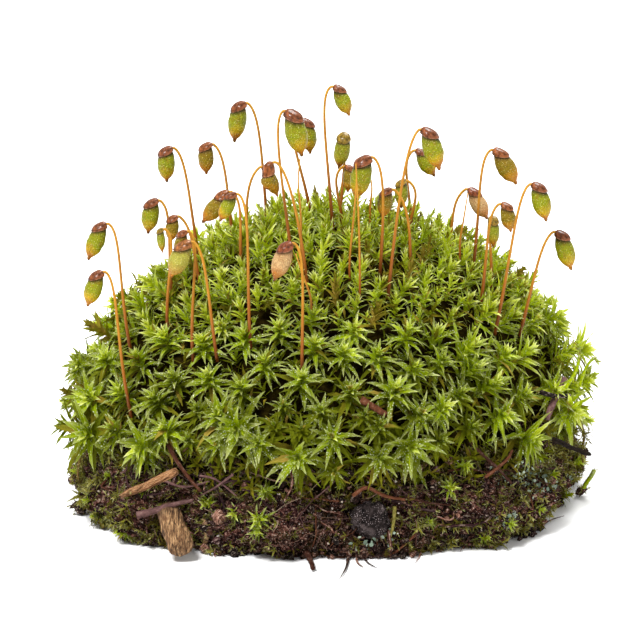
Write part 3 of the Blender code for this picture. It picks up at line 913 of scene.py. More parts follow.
def add_other_shoots(leaves, dice, taken):
    """The shoots between, beside and behind the front ones. They get smaller and paler to the crown."""
    for spot in scattered_places(SHOOT_CANDIDATES, spacing_at, taken, LOWEST_SHOOT):
        if spot.z < LOWEST_SHOOT - FRONT_BARE * min(spot.y, 0.0) / DOME_HALF_DEPTH:
            continue
        if any((spot - p).length < SPRIG_CLEARING for p in BESIDE_SPRIGS):
            continue
        facing = dome_facing(spot)
        top = crown_share(spot)
        stray = scatter(dice, 0.26 + 0.1 * top)
        axis = (facing + (0.3 + 0.35 * top) * UP + SPLAY * spot.x * ACROSS + stray).normalized()
        kind = "open"
        if dice.random() < 0.2 + 0.8 * top:
            kind = "spire" if dice.random() < 0.6 * top else "tuft"
        if spot.z < HANGING_BELOW and dice.random() < 0.6:
            kind = "hang"
        reach = REACH_SCALE * dice.uniform(*SHOOT_REACHES) * (1 - SMALLER_ON_CROWN * top)
        raised = (0.3 + 1.2 * math.exp(-((spot.x / 13) ** 2))) * top
        uneven = max(dice.gauss(0.5, 0.9), -0.6) * (1 - 0.3 * top)
        depth = 1.1 - raised + uneven
        # Tone rises with height and on the crown, partly as painted light on the higher moss.
        tone = min(max(dice.gauss(0.4 + 0.011 * spot.z + 0.33 * top, 0.15 + 0.05 * top), 0.15), 1.3)
        tone += RIGHT_EDGE_BRIGHTER * max(spot.x - 22, 0.0)
        brown = dice.random() < 0.05 + 0.05 * top
        red = dice.random() < 0.15 + 0.15 * top
        add_shoot(leaves[region_of(spot)], dice, spot - facing * depth, axis, reach, kind, tone, red, brown)


def add_scrub(leaves, dice):
    """Small dark shoots that fill the gaps between the others; their dark prints are partly painted shade
    deep in the gaps.
    """
    for spot in scattered_places(SCRUB_CANDIDATES, lambda p: SCRUB_SPACING, [], LOWEST_SHOOT):
        facing = dome_facing(spot)
        top = crown_share(spot)
        axis = (facing + scatter(dice, 0.45)).normalized()
        tip = spot - facing * (dice.uniform(*SCRUB_DEPTHS) - 1.5 * top)
        tone = dice.uniform(0.0, 0.26) + 0.55 * top
        brown = dice.random() < 0.12 + 0.7 * clipped((18.0 - spot.z) / 6.0)
        reach = dice.uniform(*SCRUB_REACHES)
        add_shoot(leaves[region_of(spot)], dice, tip, axis, reach, "scrub", tone, False, brown)


def make_moss(finish):
    dice = random.Random(7)
    names = ("crown", *REGIONS)
    leaves = {name: [] for name in names}
    add_other_shoots(leaves, dice, add_front_stars(leaves, dice))
    scrub = {name: [] for name in names}
    add_scrub(scrub, dice)
    for name in names:
        make_leaves(f"moss_leaves_{name}", leaves[name], LEAF_RINGS[name], finish, "moss_cushion")
        make_leaves(f"moss_undergrowth_{name}", scrub[name], SCRUB_RINGS, finish, "moss_cushion")


# The dark mound of old shoots under the leaves: its near-black colour is partly their own dark brown and
# partly painted shade deep between the shoots

MOUND_DEPTH = 4.6
MOUND_FOOT_DEPTH = 1.6
FOOT_TOP = 18.0
FOOT_FADE = 6
MOUND_ROWS = 44
MOUND_TURNS = 120
MOUND_BELOW_LEVEL = 0.35
MOUND_RELIEF = ((1.4, 2.2), (0.7, 0.8))


def make_mound():
    shape = Shape()
    for i in range(MOUND_ROWS + 1):
        up = math.pi / 2 - (math.pi / 2 + MOUND_BELOW_LEVEL) * i / MOUND_ROWS
        for k in range(MOUND_TURNS):
            turn = 2 * math.pi * k / MOUND_TURNS
            heading = Vector((math.cos(up) * math.cos(turn), math.cos(up) * math.sin(turn), math.sin(up)))
            p = along_to_dome(HEART, heading)
            p -= heading * (MOUND_DEPTH + MOUND_FOOT_DEPTH * clipped((FOOT_TOP - p.z) / FOOT_FADE))
            p += heading * relief_at(p, MOUND_RELIEF)
            p.z = max(p.z, UNDERSIDE)
            shape.points.append(p)
    shape.faces = [(a, d, c, b) for a, b, c, d in ring_quads(MOUND_ROWS + 1, MOUND_TURNS)]
    finish = Finish("old moss and painted shade")
    place = finish.place()
    deep_shade_noise = finish.noise(place, 0.8, 4.0, 0.6)
    stops = ((0.3, (0.006, 0.003, 0.001)), (0.5, (0.014, 0.009, 0.002)), (0.75, (0.04, 0.030, 0.004)))
    colour = finish.ramp(deep_shade_noise, stops)
    normal = finish.bump(finish.noise(place, 2.5, 4.0), 1.0, 0.5)
    make_piece("moss_mound", shape, finish.plain(colour, 1.0, 0.0, normal), ["moss_cushion"])


# Stalks and capsules


class Sporophyte(NamedTuple):
    """A stalk and its capsule: foot (x, y), cap and beak of the capsule (x, z), its girth, and its hook.

    The hook is the heading, in degrees from +X, in which the top of the stalk bends over.
    """

    foot: tuple
    cap: tuple
    beak: tuple
    girth: float
    hook: float
    ripeness: str = "green"
    hooded: bool = False


SPOROPHYTES = (
    Sporophyte((-23.0, -10.0), (-27.1, 36.8), (-28.4, 32.7), 2.1, 180),
    Sporophyte((-23.0, -16.0), (-27.4, 32.5), (-28.4, 28.7), 2.1, 190),
    Sporophyte((-15.0, 1.0), (-19.3, 43.1), (-19.1, 39.3), 2.1, 195),
    Sporophyte((-18.2, -4.5), (-21.0, 38.1), (-21.3, 34.4), 2.1, 185),
    Sporophyte((-14.9, -6.0), (-18.4, 36.5), (-18.5, 33.8), 1.6, 200, "brown"),
    Sporophyte((-10.9, 2.0), (-14.5, 43.3), (-14.3, 40.0), 1.9, 190, "brown"),
    Sporophyte((-6.8, 7.0), (-10.5, 47.1), (-10.9, 42.6), 2.2, 185),
    Sporophyte((-9.9, -7.0), (-12.3, 39.9), (-14.6, 36.5), 2.1, 195, "brown"),
    Sporophyte((-8.7, -19.0), (-11.2, 43.2), (-12.4, 40.2), 1.7, 170),
    Sporophyte((-1.9, -13.5), (-6.7, 45.5), (-6.8, 42.6), 1.7, 190, "brown", True),
    Sporophyte((-3.6, -10.5), (-3.6, 51.0), (-2.7, 45.9), 2.6, -20),
    Sporophyte((-1.4, 4.0), (-2.0, 45.8), (-1.7, 42.0), 2.1, 0),
    Sporophyte((1.1, -3.0), (1.9, 52.0), (3.0, 48.8), 1.9, 0),
    Sporophyte((1.9, 1.6), (2.4, 44.7), (1.8, 40.9), 1.9, 260, "bare"),
    Sporophyte((6.7, -11.0), (4.6, 45.4), (3.9, 40.6), 2.5, 190),
    Sporophyte((10.3, -9.0), (7.4, 40.8), (7.1, 37.7), 1.8, 185, "brown"),
    Sporophyte((7.6, -14.5), (12.7, 49.9), (13.8, 45.3), 2.4, -5),
    Sporophyte((10.6, 5.0), (11.9, 41.7), (13.4, 38.8), 1.9, 10),
    Sporophyte((17.9, -3.5), (21.4, 44.2), (23.2, 40.3), 2.3, 0, "brown"),
    Sporophyte((15.2, 2.0), (18.3, 37.6), (19.8, 34.3), 2.0, -10, "tan"),
    Sporophyte((18.8, -9.5), (22.1, 39.1), (22.5, 36.1), 1.8, -10, "brown"),
    Sporophyte((20.0, -5.0), (20.5, 36.1), (20.5, 32.9), 1.5, -70, "bare"),
    Sporophyte((20.4, -12.5), (25.9, 42.5), (26.7, 38.3), 2.2, 0),
    Sporophyte((23.4, -9.5), (28.8, 35.6), (29.8, 31.3), 2.2, -5),
    Sporophyte((-2.6, -22.5), (-4.7, 38.0), (-5.9, 33.9), 2.2, 200, "tan"),
    Sporophyte((-12.7, -18.5), (-16.9, 37.0), (-18.3, 33.1), 2.4, 190, "pale"),
)
EXTRA_SPOROPHYTES = (
    Sporophyte((-9.1, -2.2), (-6.8, 41.7), (-5.7, 38.4), 1.7, 10, "brown"),
    Sporophyte((2.4, -1.0), (3.2, 41.4), (2.9, 38.6), 1.5, 0, "brown"),
    Sporophyte((10.1, 1.3), (9.3, 38.9), (9.4, 35.9), 1.6, 180, "bare"),
    Sporophyte((-18.7, -11.3), (-19.8, 36.5), (-19.5, 34.0), 1.0, 180, "bare"),
    Sporophyte((-15.6, -17.0), (-17.1, 37.9), (-17.6, 35.0), 1.5, 190, "brown"),
)
# Bare stalks, each by its points seen from the front as x and rise
BARE_STALKS = (
    ((-1.6, 23.4), (-2.6, 26.4), (-3.4, 28.8)),
    ((3.1, 28.4), (3.6, 33.6), (3.9, 37.6), (3.8, 39.6)),
    ((4.3, 26.1), (4.2, 31.5), (4.0, 36.0), (3.8, 39.4)),
    ((5.6, 34.5), (5.8, 37.0), (5.4, 39.2)),
    ((16.5, 30.5), (16.9, 33.0), (17.4, 36.2)),
    ((-2.8, 29.0), (-2.8, 33.2), (-3.1, 37.6), (-2.9, 40.2)),
)
# Girth of a capsule along its length: a flat hood with a rim that stands out, a plump body and a beak
CAPSULE_GIRTHS = (
    (0.0, 0.16),
    (0.01, 0.44),
    (0.03, 0.64),
    (0.06, 0.77),
    (0.1, 0.87),
    (0.15, 0.94),
    (0.185, 0.97),
    (0.2, 0.92),
    (0.206, 0.82),
    (0.24, 0.87),
    (0.32, 0.96),
    (0.43, 1.01),
    (0.55, 1.01),
    (0.67, 0.94),
    (0.77, 0.77),
    (0.85, 0.53),
    (0.895, 0.32),
    (0.925, 0.21),
    (0.96, 0.2),
    (1.0, 0.1),
)
HOOD_END = 0.2
PAST_HOOD = 0.203
RIM_PRINTS = (0.206, 0.214)
LONG_HOOD = 0.5
SHORT_HOOD = 0.175
HOOD_TOP = 0.32
HOOD_DRAPE = 0.32
BEAK_LONGER = 0.2
STALK_INTO_HOOD = 0.45
CAPSULE_SIDES = 24
STALK_SIDES = 6
BARE_STALK_THICKNESSES = (0.34, 0.28, 0.16)
BARE_STALK_STEPS = 24
BARE_STALK_ROOT = 3


def foot_of(x, y):
    """Floor of the small pit that a stem rises from, and the way the moss faces there."""
    floor = Vector((x, y, dome_height(x, y, PIT_DEPTH)))
    step = 0.05
    slope_x = (dome_height(x + step, y) - dome_height(x - step, y)) / (2 * step)
    slope_y = (dome_height(x, y + step) - dome_height(x, y - step)) / (2 * step)
    return floor, Vector((-slope_x, -slope_y, 1.0)).normalized()


def hook_heading(row):
    turn = math.radians(row.hook)
    return Vector((math.cos(turn), math.sin(turn), 0.0))


def cap_middle(row):
    return Vector((row.cap[0], row.foot[1] + HOOK_REACH * hook_heading(row).y, row.cap[1]))


def stalk_line(row):
    """A stalk's own curve: out of the moss, up, then bending over beside the capsule's cap."""
    floor, facing = foot_of(*row.foot)
    start = floor + facing * POCKET_GAP
    over = hook_heading(row)
    crown = cap_middle(row) - over * (HOOK_REACH + CROWN_BESIDE_CAP * row.girth) + UP * CROWN_ABOVE_CAP
    rise = crown.z - start.z
    reach = crown - HOOK_ARM * (math.cos(HOOK_SLOPE) * over + math.sin(HOOK_SLOPE) * UP)
    lift = start + STALK_LEAN * rise * facing + STALK_BULGE * rise * UP
    lift.x += STALK_TO_CAPSULE * (reach.x - start.x)
    return arch(start, lift, reach, crown, CURVE_STEPS)


def into_hood(row, crown):
    """The last of a stalk: from the top of its bend into the near side of the hood."""
    over = hook_heading(row)
    end = cap_middle(row) - over * (STALK_INTO_HOOD * row.girth / 2) + UP * HOOD_TOP / 2
    rising = math.cos(HOOK_SLOPE) * over + math.sin(HOOK_SLOPE) * UP
    return arch(crown, crown + 0.25 * rising, end - 0.2 * over, end, 7)[1:]


def capsule_axis(row):
    """A capsule's own line, from the top of its hood to its beak, straighter than that of the solid."""
    over, cap = hook_heading(row), cap_middle(row)
    beak = Vector((row.beak[0], cap.y - BEAK_FORWARD, row.beak[1]))
    down = (beak - cap).normalized()
    top, tip = cap + UP * HOOD_TOP, beak + down * BEAK_LONGER
    third = (tip - top).length / 3
    return arch(top, top - third * (UP + 0.12 * over), tip - third * down, tip, CURVE_STEPS)


def make_capsule(name, row, finish, replaced, seed):
    """The hood is draped: its far side hangs lower than the side of the stalk."""
    hood_prints, body_prints = np.linspace(0, HOOD_END, 12), np.linspace(0.23, 1, 20)
    prints = np.unique(np.concatenate([hood_prints, RIM_PRINTS, body_prints]))
    shares = np.interp(prints, (0, HOOD_END, 1), (0, LONG_HOOD if row.hooded else SHORT_HOOD, 1))
    axis = resample(capsule_axis(row), shares)
    girths = [float(g) * row.girth / 2 for g in np.interp(prints, *zip(*CAPSULE_GIRTHS))]

    def rough(along, turn):
        on_hood = along < PAST_HOOD
        pleats = 0.0
        if 0.03 < along and on_hood:
            pleats = 0.02 * math.sin(5 * turn + 2.5 * math.sin(2 * turn + seed))
        spot = Vector((along * 9, 1.3 * math.cos(turn), 1.3 * math.sin(turn) + 4 * seed))
        return pleats + (0.12 if on_hood else 0.06) * noise.noise(spot)

    points, faces, places = tube(axis, girths, CAPSULE_SIDES, rough, [float(p) for p in prints])
    over = hook_heading(row)
    for i, p in enumerate(points):
        ring = i // CAPSULE_SIDES
        drape = HOOD_DRAPE * float(np.interp(prints[ring], (HOOD_END, 0.5), (1.0, 0.0)))
        p.z -= drape * (p - axis[ring]).dot(over)
    shape = Shape()
    shape.add(points, faces, places)
    make_piece(name, shape, finish, replaced)


def add_stalk(shape, line, thicknesses):
    radii = [thickness / 2 for thickness in spread(thicknesses, len(line))]
    shape.add(*tube(line, radii, STALK_SIDES))


def make_sporophytes():
    stalk_material = stalk_finish()
    kinds = {name: capsule_finish(name, *look) for name, look in CAPSULE_LOOKS.items()}
    for number, row in enumerate(SPOROPHYTES + EXTRA_SPOROPHYTES, 1):
        known = number <= len(SPOROPHYTES)
        stalk, capsule = f"stalk_{number:02d}", f"capsule_{number:02d}"
        line = stalk_line(row)
        line += into_hood(row, line[-1])
        shape = Shape()
        add_stalk(shape, line, STALK_THICKNESSES)
        make_piece(f"{stalk}_fine", shape, stalk_material, [stalk] if known else ())
        make_capsule(f"{capsule}_fine", row, kinds[row.ripeness], [capsule] if known else (), number)
    shape = Shape()
    for seen in BARE_STALKS:
        y = on_front(*seen[0]).y
        heights = [(rise - y * math.sin(VIEW_TILT)) / math.cos(VIEW_TILT) for _, rise in seen]
        points = [Vector((x, y, height)) for (x, _), height in zip(seen, heights)]
        line = smooth_line([points[0] - BARE_STALK_ROOT * UP, *points], BARE_STALK_STEPS)
        add_stalk(shape, line, BARE_STALK_THICKNESSES)
    make_piece("bare_stalks", shape, stalk_material)


def stalk_finish():
    finish = Finish("stalk skin")
    along, around = finish.on_map()
    colour = finish.ramp(
        along,
        (
            (0.0, (0.10, 0.024, 0.004)),
            (0.14, (0.24, 0.072, 0.006)),
            (0.36, (0.36, 0.155, 0.012)),
            (0.7, (0.46, 0.22, 0.018)),
            (1.0, (0.42, 0.21, 0.022)),
        ),
    )
    streaks = finish.noise(finish.join(along * 20.0, around * 3.0, 0.0), 1.0, 3.0)
    colour = finish.mix(streaks.between(0.4, 0.7) * 0.4, colour, (0.24, 0.075, 0.010))
    return finish.done(finish.surface({"Base Color": colour, "Roughness": 0.4, "Specular IOR Level": 0.15}))


# Colours of a capsule's shoulder, body, ripe lower part and hood
CAPSULE_LOOKS = {
    "green": ((0.065, 0.070, 0.002), (0.24, 0.255, 0.004), (0.52, 0.32, 0.008), (0.12, 0.036, 0.012)),
    "brown": ((0.11, 0.060, 0.005), (0.22, 0.150, 0.004), (0.46, 0.21, 0.008), (0.15, 0.046, 0.013)),
    "tan": ((0.30, 0.15, 0.06), (0.52, 0.32, 0.14), (0.48, 0.22, 0.07), (0.13, 0.034, 0.012)),
    "pale": ((0.17, 0.14, 0.02), (0.36, 0.33, 0.045), (0.44, 0.30, 0.05), (0.17, 0.060, 0.015)),
    "bare": ((0.14, 0.14, 0.008), (0.25, 0.26, 0.010), (0.40, 0.31, 0.015), (0.16, 0.10, 0.012)),
}


def capsule_finish(name, shoulder, body, ripe, hood_colour):
    finish = Finish(f"capsule {name}")
    along, around = finish.on_map()
    place = finish.place()
    patches = finish.noise(place, 0.9, 3.0)
    blush = finish.noise(place, 1.5, 4.0, 0.6)
    grains = finish.cells(place, 6.0)
    shift = along + (patches - 0.5) * 0.35
    colour = finish.ramp(
        shift,
        (
            (0.2, shoulder),
            (0.36, body),
            (0.56, body),
            (0.74, ripe),
            (0.87, (0.50, 0.16, 0.012)),
            (0.95, (0.32, 0.080, 0.012)),
            (1.0, (0.12, 0.028, 0.009)),
        ),
    )
    colour = finish.mix(blush.between(0.5, 0.68) * 0.45, colour, (0.24, 0.090, 0.006))
    colour = finish.mix(grains.between(0.1, 0.7) * 0.42, colour, tuple(c * 0.3 for c in body))
    # Pale dots on the skin, partly its own grain and partly painted glints.
    dots = finish.cells(place, 4.6).between(0.28, 0.14)
    colour = finish.mix(dots * 0.4, colour, (0.80, 0.72, 0.30))
    hood = along.between(0.21, 0.202)
    wrinkles = finish.noise(finish.join(along * 10.0, around * 9.0, 0.0), 1.0, 4.0, 0.6)
    # The hood's colour runs from a shaded copy in the low parts of its wrinkles to a lit copy on their high
    # parts, as painted shade and painted highlight; the line along its rim is lightened, partly as painted
    # highlight.
    dark = tuple(c * 0.3 for c in hood_colour)
    bright = tuple(c * 2.4 + 0.004 for c in hood_colour)
    cap = finish.ramp(wrinkles, ((0.36, dark), (0.5, hood_colour), (0.7, bright)))
    colour = finish.mix(hood, colour, cap)
    edge = along.between(0.17, 0.192) * hood
    colour = finish.mix(edge * wrinkles.between(0.4, 0.6) * 0.6, colour, (0.42, 0.21, 0.10))
    # Painted shadow: the body darkens just below the hood's rim.
    painted_shadow_under_rim = along.between(0.3, 0.21) * (1 - hood)
    colour = finish.mix(painted_shadow_under_rim * 0.75, colour, (0.03, 0.012, 0.003))
    relief = grains * (1 - hood) + wrinkles * hood
    return finish.done(
        finish.surface(
            {
                "Base Color": colour,
                "Roughness": 0.42 - hood * 0.12,
                "Specular IOR Level": 0.1,
                "Coat Weight": 0.08 + hood * 0.14,
                "Coat Roughness": 0.14,
                "Normal": finish.bump(relief, 0.7, 0.16),
            }
        )
    )


# Soil

STONE_AT = Vector((5.6, -26.6, 5.0))
HOLLOW_REACH = 3.4
HOLLOW_DEPTH = 2.4
SOIL_RELIEF = ((1.3, 2.2), (1.3, 0.9), (0.7, 0.4))
# Loose soil and moss that fill out the clod low down at the left and at the right of the front
CORNERS = ((math.radians(222), 2.2), (math.radians(321), 2.4))
CORNER_WIDTH = 0.1
# Where the soil's wall stands back from the solid: turn, height, how far, and how wide that is each way
STOOD_BACK = (
    (math.radians(184), 6.0, 1.3, 0.32, 5.0),
    (math.radians(338), 0.5, 1.8, 0.22, 2.6),
    (math.radians(203), 0.5, 1.2, 0.16, 2.4),
)
SOIL_ROWS = 36
SOIL_TURNS = 540
SOIL_INTO_MOSS = 0.6
WALL_HALF_WIDTH = 30.2
WALL_HALF_DEPTH = 27.2
SEEN_DEPTH = 3.6
BARE_HEIGHT = 12.0


def clod_share(height):
    heights, shares = zip(*CLOD_RINGS)
    return float(np.interp(height, heights, shares))


def stood_back(turn, height):
    turn %= 2 * math.pi
    return sum(
        far * math.exp(-(((turn - at) / wide) ** 2) - ((height - level) / high) ** 2)
        for at, level, far, wide, high in STOOD_BACK
    )


def clod_point(turn, height, rough=True):
    out = Vector((CLOD_HALF_WIDTH * math.cos(turn), CLOD_HALF_DEPTH * math.sin(turn), 0.0))
    lump = noise.noise((out + Vector((0.0, 0.0, height))) / CLOD_LUMP_SIZE)
    once_round = turn % (2 * math.pi)
    corner = sum(size * math.exp(-((once_round - at) ** 2) / CORNER_WIDTH) for at, size in CORNERS)
    low = 1 - 0.5 * height / CLOD_TOP
    more = CLOD_LUMPS * lump + corner * low - stood_back(turn, height)
    grown = out * clod_share(height) + out.normalized() * more
    p = Vector((grown.x, grown.y, height))
    if rough:
        away = (p - STONE_AT).length / HOLLOW_REACH
        p += out.normalized() * (relief_at(p, SOIL_RELIEF) - HOLLOW_DEPTH * math.exp(-(away**2)))
    return p


def wall_point(turn, height, lift=0.0):
    """A place on the wall of soil and old stems: the clod's side and, above it, the foot of the moss."""
    if height < CLOD_TOP:
        p = clod_point(turn, height, False)
    else:
        shrink = 1 - 0.012 * (height - CLOD_TOP)
        p = Vector((WALL_HALF_WIDTH * math.cos(turn), WALL_HALF_DEPTH * math.sin(turn), 0.0)) * shrink
        p -= p.normalized() * stood_back(turn, height)
        p.z = height
    return p + wall_facing(turn) * lift


def wall_facing(turn):
    return Vector((CLOD_HALF_DEPTH * math.cos(turn), CLOD_HALF_WIDTH * math.sin(turn), 0.0)).normalized()


def inside_wall(p):
    if p.z < 0:
        return False
    if p.z > CLOD_TOP:
        return inside_dome(p, SEEN_DEPTH)
    turn = math.atan2(p.y / CLOD_HALF_DEPTH, p.x / CLOD_HALF_WIDTH)
    edge = clod_point(turn, p.z, False)
    return math.hypot(p.x, p.y) < math.hypot(edge.x, edge.y)


def seen_at(x, rise, lift=0.0):
    """The place on the wall or the floor that is seen at this x and rise, and the way it faces."""
    p = Vector((x, 0.0, 0.0)) + VIEW_UP * rise - VIEW_AWAY * VIEW_REACH
    while p.y < 0 and not inside_wall(p) and (p + VIEW_AWAY * VIEW_STEP).z > lift:
        p += VIEW_AWAY * VIEW_STEP
    turn = math.atan2(p.y / CLOD_HALF_DEPTH, p.x / CLOD_HALF_WIDTH)
    facing = wall_facing(turn)
    return p + facing * lift, facing


def make_soil():
    shape = Shape()
    top = CLOD_TOP + SOIL_INTO_MOSS
    for i in range(SOIL_ROWS + 1):
        for k in range(SOIL_TURNS):
            shape.points.append(clod_point(2 * math.pi * k / SOIL_TURNS, top * i / SOIL_ROWS))
    shape.faces = ring_quads(SOIL_ROWS + 1, SOIL_TURNS)
    under = len(shape.points)
    shape.points += [Vector((0.0, 0.0, 0.0)), Vector((0.0, 0.0, top))]
    last_ring = SOIL_ROWS * SOIL_TURNS
    for k in range(SOIL_TURNS):
        after = (k + 1) % SOIL_TURNS
        shape.faces.append((under, after, k))
        shape.faces.append((under + 1, last_ring + k, last_ring + after))
    make_piece("soil", shape, soil_finish(), ["soil_clod"])


def soil_finish():
    finish = Finish("soil")
    place = finish.place()
    broad = finish.noise(place, 0.25, 3.0)
    fine = finish.noise(place, 2.6, 5.0, 0.7)
    grains = finish.cells(place, 3.4)
    colour = finish.ramp(
        fine,
        (
            (0.42, (0.003, 0.001, 0.0005)),
            (0.51, (0.056, 0.019, 0.014)),
            (0.58, (0.225, 0.096, 0.070)),
            (0.68, (0.62, 0.48, 0.38)),
        ),
    )
    colour = finish.mix(broad.between(0.5, 0.7) * 0.4, colour, (0.040, 0.036, 0.004))
    colour = finish.mix(broad.between(0.45, 0.3) * 0.5, colour, (0.064, 0.024, 0.028))
    # Painted shade: near-black patches that stand for shaded hollows in the soil.
    painted_hollow_shade = finish.noise(place, 0.5, 3.0).between(0.5, 0.38)
    colour = finish.mix(painted_hollow_shade * 0.7, colour, (0.004, 0.0015, 0.001))
    # Pale flecks: partly the soil's own pale grains and partly painted glints.
    pale_flecks_and_glints = finish.cells(place, 3.4).between(0.2, 0.1)
    colour = finish.mix(pale_flecks_and_glints * 0.8, colour, (0.66, 0.54, 0.46))
    relief = fine + grains * 0.5
    return finish.plain(colour, 0.9, 0.05, finish.bump(relief, 1.0, 0.6))


# What lies in the soil

SCRAP_PRINTS = 24
SCRAP_MARGIN = 0.06
SCRAP_TONES = (
    (0.006, 0.002, 0.001),
    (0.016, 0.005, 0.003),
    (0.026, 0.008, 0.008),
    (0.050, 0.017, 0.010),
    (0.058, 0.019, 0.021),
    (0.105, 0.038, 0.024),
    (0.17, 0.067, 0.043),
    (0.26, 0.12, 0.08),
    (0.20, 0.12, 0.075),
    (0.36, 0.25, 0.17),
    (0.55, 0.45, 0.36),
    (0.76, 0.68, 0.60),
    (0.040, 0.012, 0.006),
    (0.065, 0.020, 0.009),
    (0.11, 0.036, 0.015),
    (0.030, 0.012, 0.014),
    (0.060, 0.026, 0.028),
    (0.12, 0.060, 0.055),
    (0.30, 0.19, 0.09),
    (0.42, 0.28, 0.14),
    (0.20, 0.17, 0.035),
    (0.30, 0.13, 0.02),
    (0.20, 0.27, 0.20),
    (0.46, 0.56, 0.44),
)
FIRST_PALE_PRINT = 8
FIRST_ROOT_PRINT = 12
DEEP_CRUMBS = range(0, 4)
DARK_CRUMBS = range(2, 8)
PALE_CRUMBS = range(8, 12)
RED_ROOTS = range(12, 15)
PURPLE_ROOTS = range(15, 18)
TAN_ROOTS = range(18, 20)
PALE_PURPLE_ROOTS = range(17, 18)
GREEN_ROOTS = range(20, 21)
BLACK_ROOTS = range(0, 3)
DARK_ROOTS = range(2, 8)
BROWN_ROOTS = range(4, 8)
WALL_ROOT_PRINTS = (
    RED_ROOTS,
    PURPLE_ROOTS,
    PURPLE_ROOTS,
    range(1, 7),
    range(1, 7),
    range(1, 8),
    range(7, 10),
)
LICHENS = range(22, 24)
LUMP_FORMS = 8


def scrap_strip(number):
    """The strip of the map that holds one print of crumbs, roots and flakes."""
    return strip_of(number, SCRAP_PRINTS, SCRAP_MARGIN)


def scrap_finish():
    finish = Finish("crumbs, roots and flakes")
    along, number, across = finish.print_on_map(SCRAP_PRINTS)
    stops = tuple((i / SCRAP_PRINTS, tone) for i, tone in enumerate(SCRAP_TONES))
    colour = finish.ramp((number + 0.5) / SCRAP_PRINTS, stops, "CONSTANT")
    grain = finish.join(along * 6.0, across * 3.0, number * 3.7)
    fine = finish.noise(grain, 1.5, 5.0, 0.7)
    rooty = number.between(FIRST_ROOT_PRINT - 0.6, FIRST_ROOT_PRINT - 0.4)
    clean = number.between(FIRST_PALE_PRINT - 0.6, FIRST_PALE_PRINT - 0.4)
    colour = finish.mix(fine.between(0.54, 0.42) * (0.92 - clean * 0.5), colour, (0.003, 0.001, 0.0005))
    colour = finish.mix(fine.between(0.54, 0.64) * (0.6 - rooty * 0.5), colour, (0.62, 0.50, 0.40))
    return finish.plain(colour, 0.8, 0.1, finish.bump(fine, 0.8, 0.12))


def lump_forms(detail):
    """A few rough little lumps, as arrays of points, and the faces that they share."""
    points, faces = ball(detail)
    forms = []
    for seed in range(LUMP_FORMS):
        shift = Vector((seed * 7.3, 1.7, seed * 3.1))
        broad = [0.6 * noise.noise(p * 1.3 + shift) for p in points]
        fine = [0.3 * noise.noise(p * 3.1 + shift) for p in points]
        forms.append([p * (1 + a + b) for p, a, b in zip(points, broad, fine)])
    return np.array(forms), np.array(points), np.array(faces)


def lumps_shape(rows, detail, seed):
    """Many lumps at once. A row is a place, a size and a print."""
    forms, unit, faces = lump_forms(detail)
    chance = np.random.default_rng(seed)
    count = len(rows)
    turned, _ = np.linalg.qr(chance.normal(size=(count, 3, 3)))
    form = forms[chance.integers(0, len(forms), count)]
    stretch = chance.uniform(0.55, 1.0, (count, 1, 3))
    sizes = np.array([size for _, size, _ in rows])[:, None, None] / 2
    middles = np.array([tuple(p) for p, _, _ in rows])[:, None]
    points = np.einsum("nij,nvj->nvi", turned, form * stretch) * sizes + middles
    points[:, :, 2] = np.maximum(points[:, :, 2], FLOOR_CLEARANCE)
    shape = Shape()
    shape.points = points.reshape(-1, 3)
    shape.faces = (faces[None] + (np.arange(count) * len(unit))[:, None, None]).reshape(-1, 3)
    low, high = np.array([scrap_strip(number) for _, _, number in rows]).T
    v = low[:, None] + (high - low)[:, None] * (unit[None, :, 2] + 1) / 2
    u = np.broadcast_to((unit[None, :, 0] + 1) / 2, v.shape)
    shape.map = np.stack([u, v], axis=2).reshape(-1, 2)[shape.faces.ravel()]
    return shape


FOOT_CRUMBS = 420
FINE_CRUMB = 0.75
# How many crumbs and how many grains there are, their largest size, and how many of the small ones are
# pale; the pale ones are partly pale grit and partly painted glints
CRUMB_KINDS = ((800, 1.5, 0.05), (2600, 0.42, 0.46))
PATCH_SIZE = 2.2
# Crumbs that stand out in the photo, as x, rise, size and print
KNOWN_CRUMBS = (
    (-4.8, -7.5, 0.9, 1),
    (25.0, -5.0, 1.0, 2),
    (23.4, -5.5, 0.8, 2),
    (-12.4, -2.7, 2.2, 7),
)
# A few crumbs that lie loose beside the clod, each with its size
LOOSE_CRUMBS = (
    (Vector((-29.3, -9.9, 1.1)), 2.0),
    (Vector((-30.0, -9.8, 1.3)), 1.7),
    (Vector((-28.2, -9.6, 1.2)), 0.9),
    (Vector((-29.2, -9.0, 3.9)), 0.9),
    (Vector((-30.2, -9.0, 4.0)), 1.0),
    (Vector((31.4, -2.5, 0.75)), 1.6),
)


def crumb_print(dice, p, pale):
    """Darker crumbs lie together, and so do paler ones."""
    patch = noise.noise(p / PATCH_SIZE) + dice.gauss(0, 0.12)
    if dice.random() < pale * (1 + 2.5 * patch):
        return one_of(dice, PALE_CRUMBS)
    return one_of(dice, DEEP_CRUMBS if patch < 0 else DARK_CRUMBS)


def front_turn(dice):
    """A turn round the clod, more often near its front than near its back."""
    if dice.random() < 0.4:
        return dice.uniform(0, 2 * math.pi)
    return dice.triangular(-math.pi, math.pi, 0) - math.pi / 2


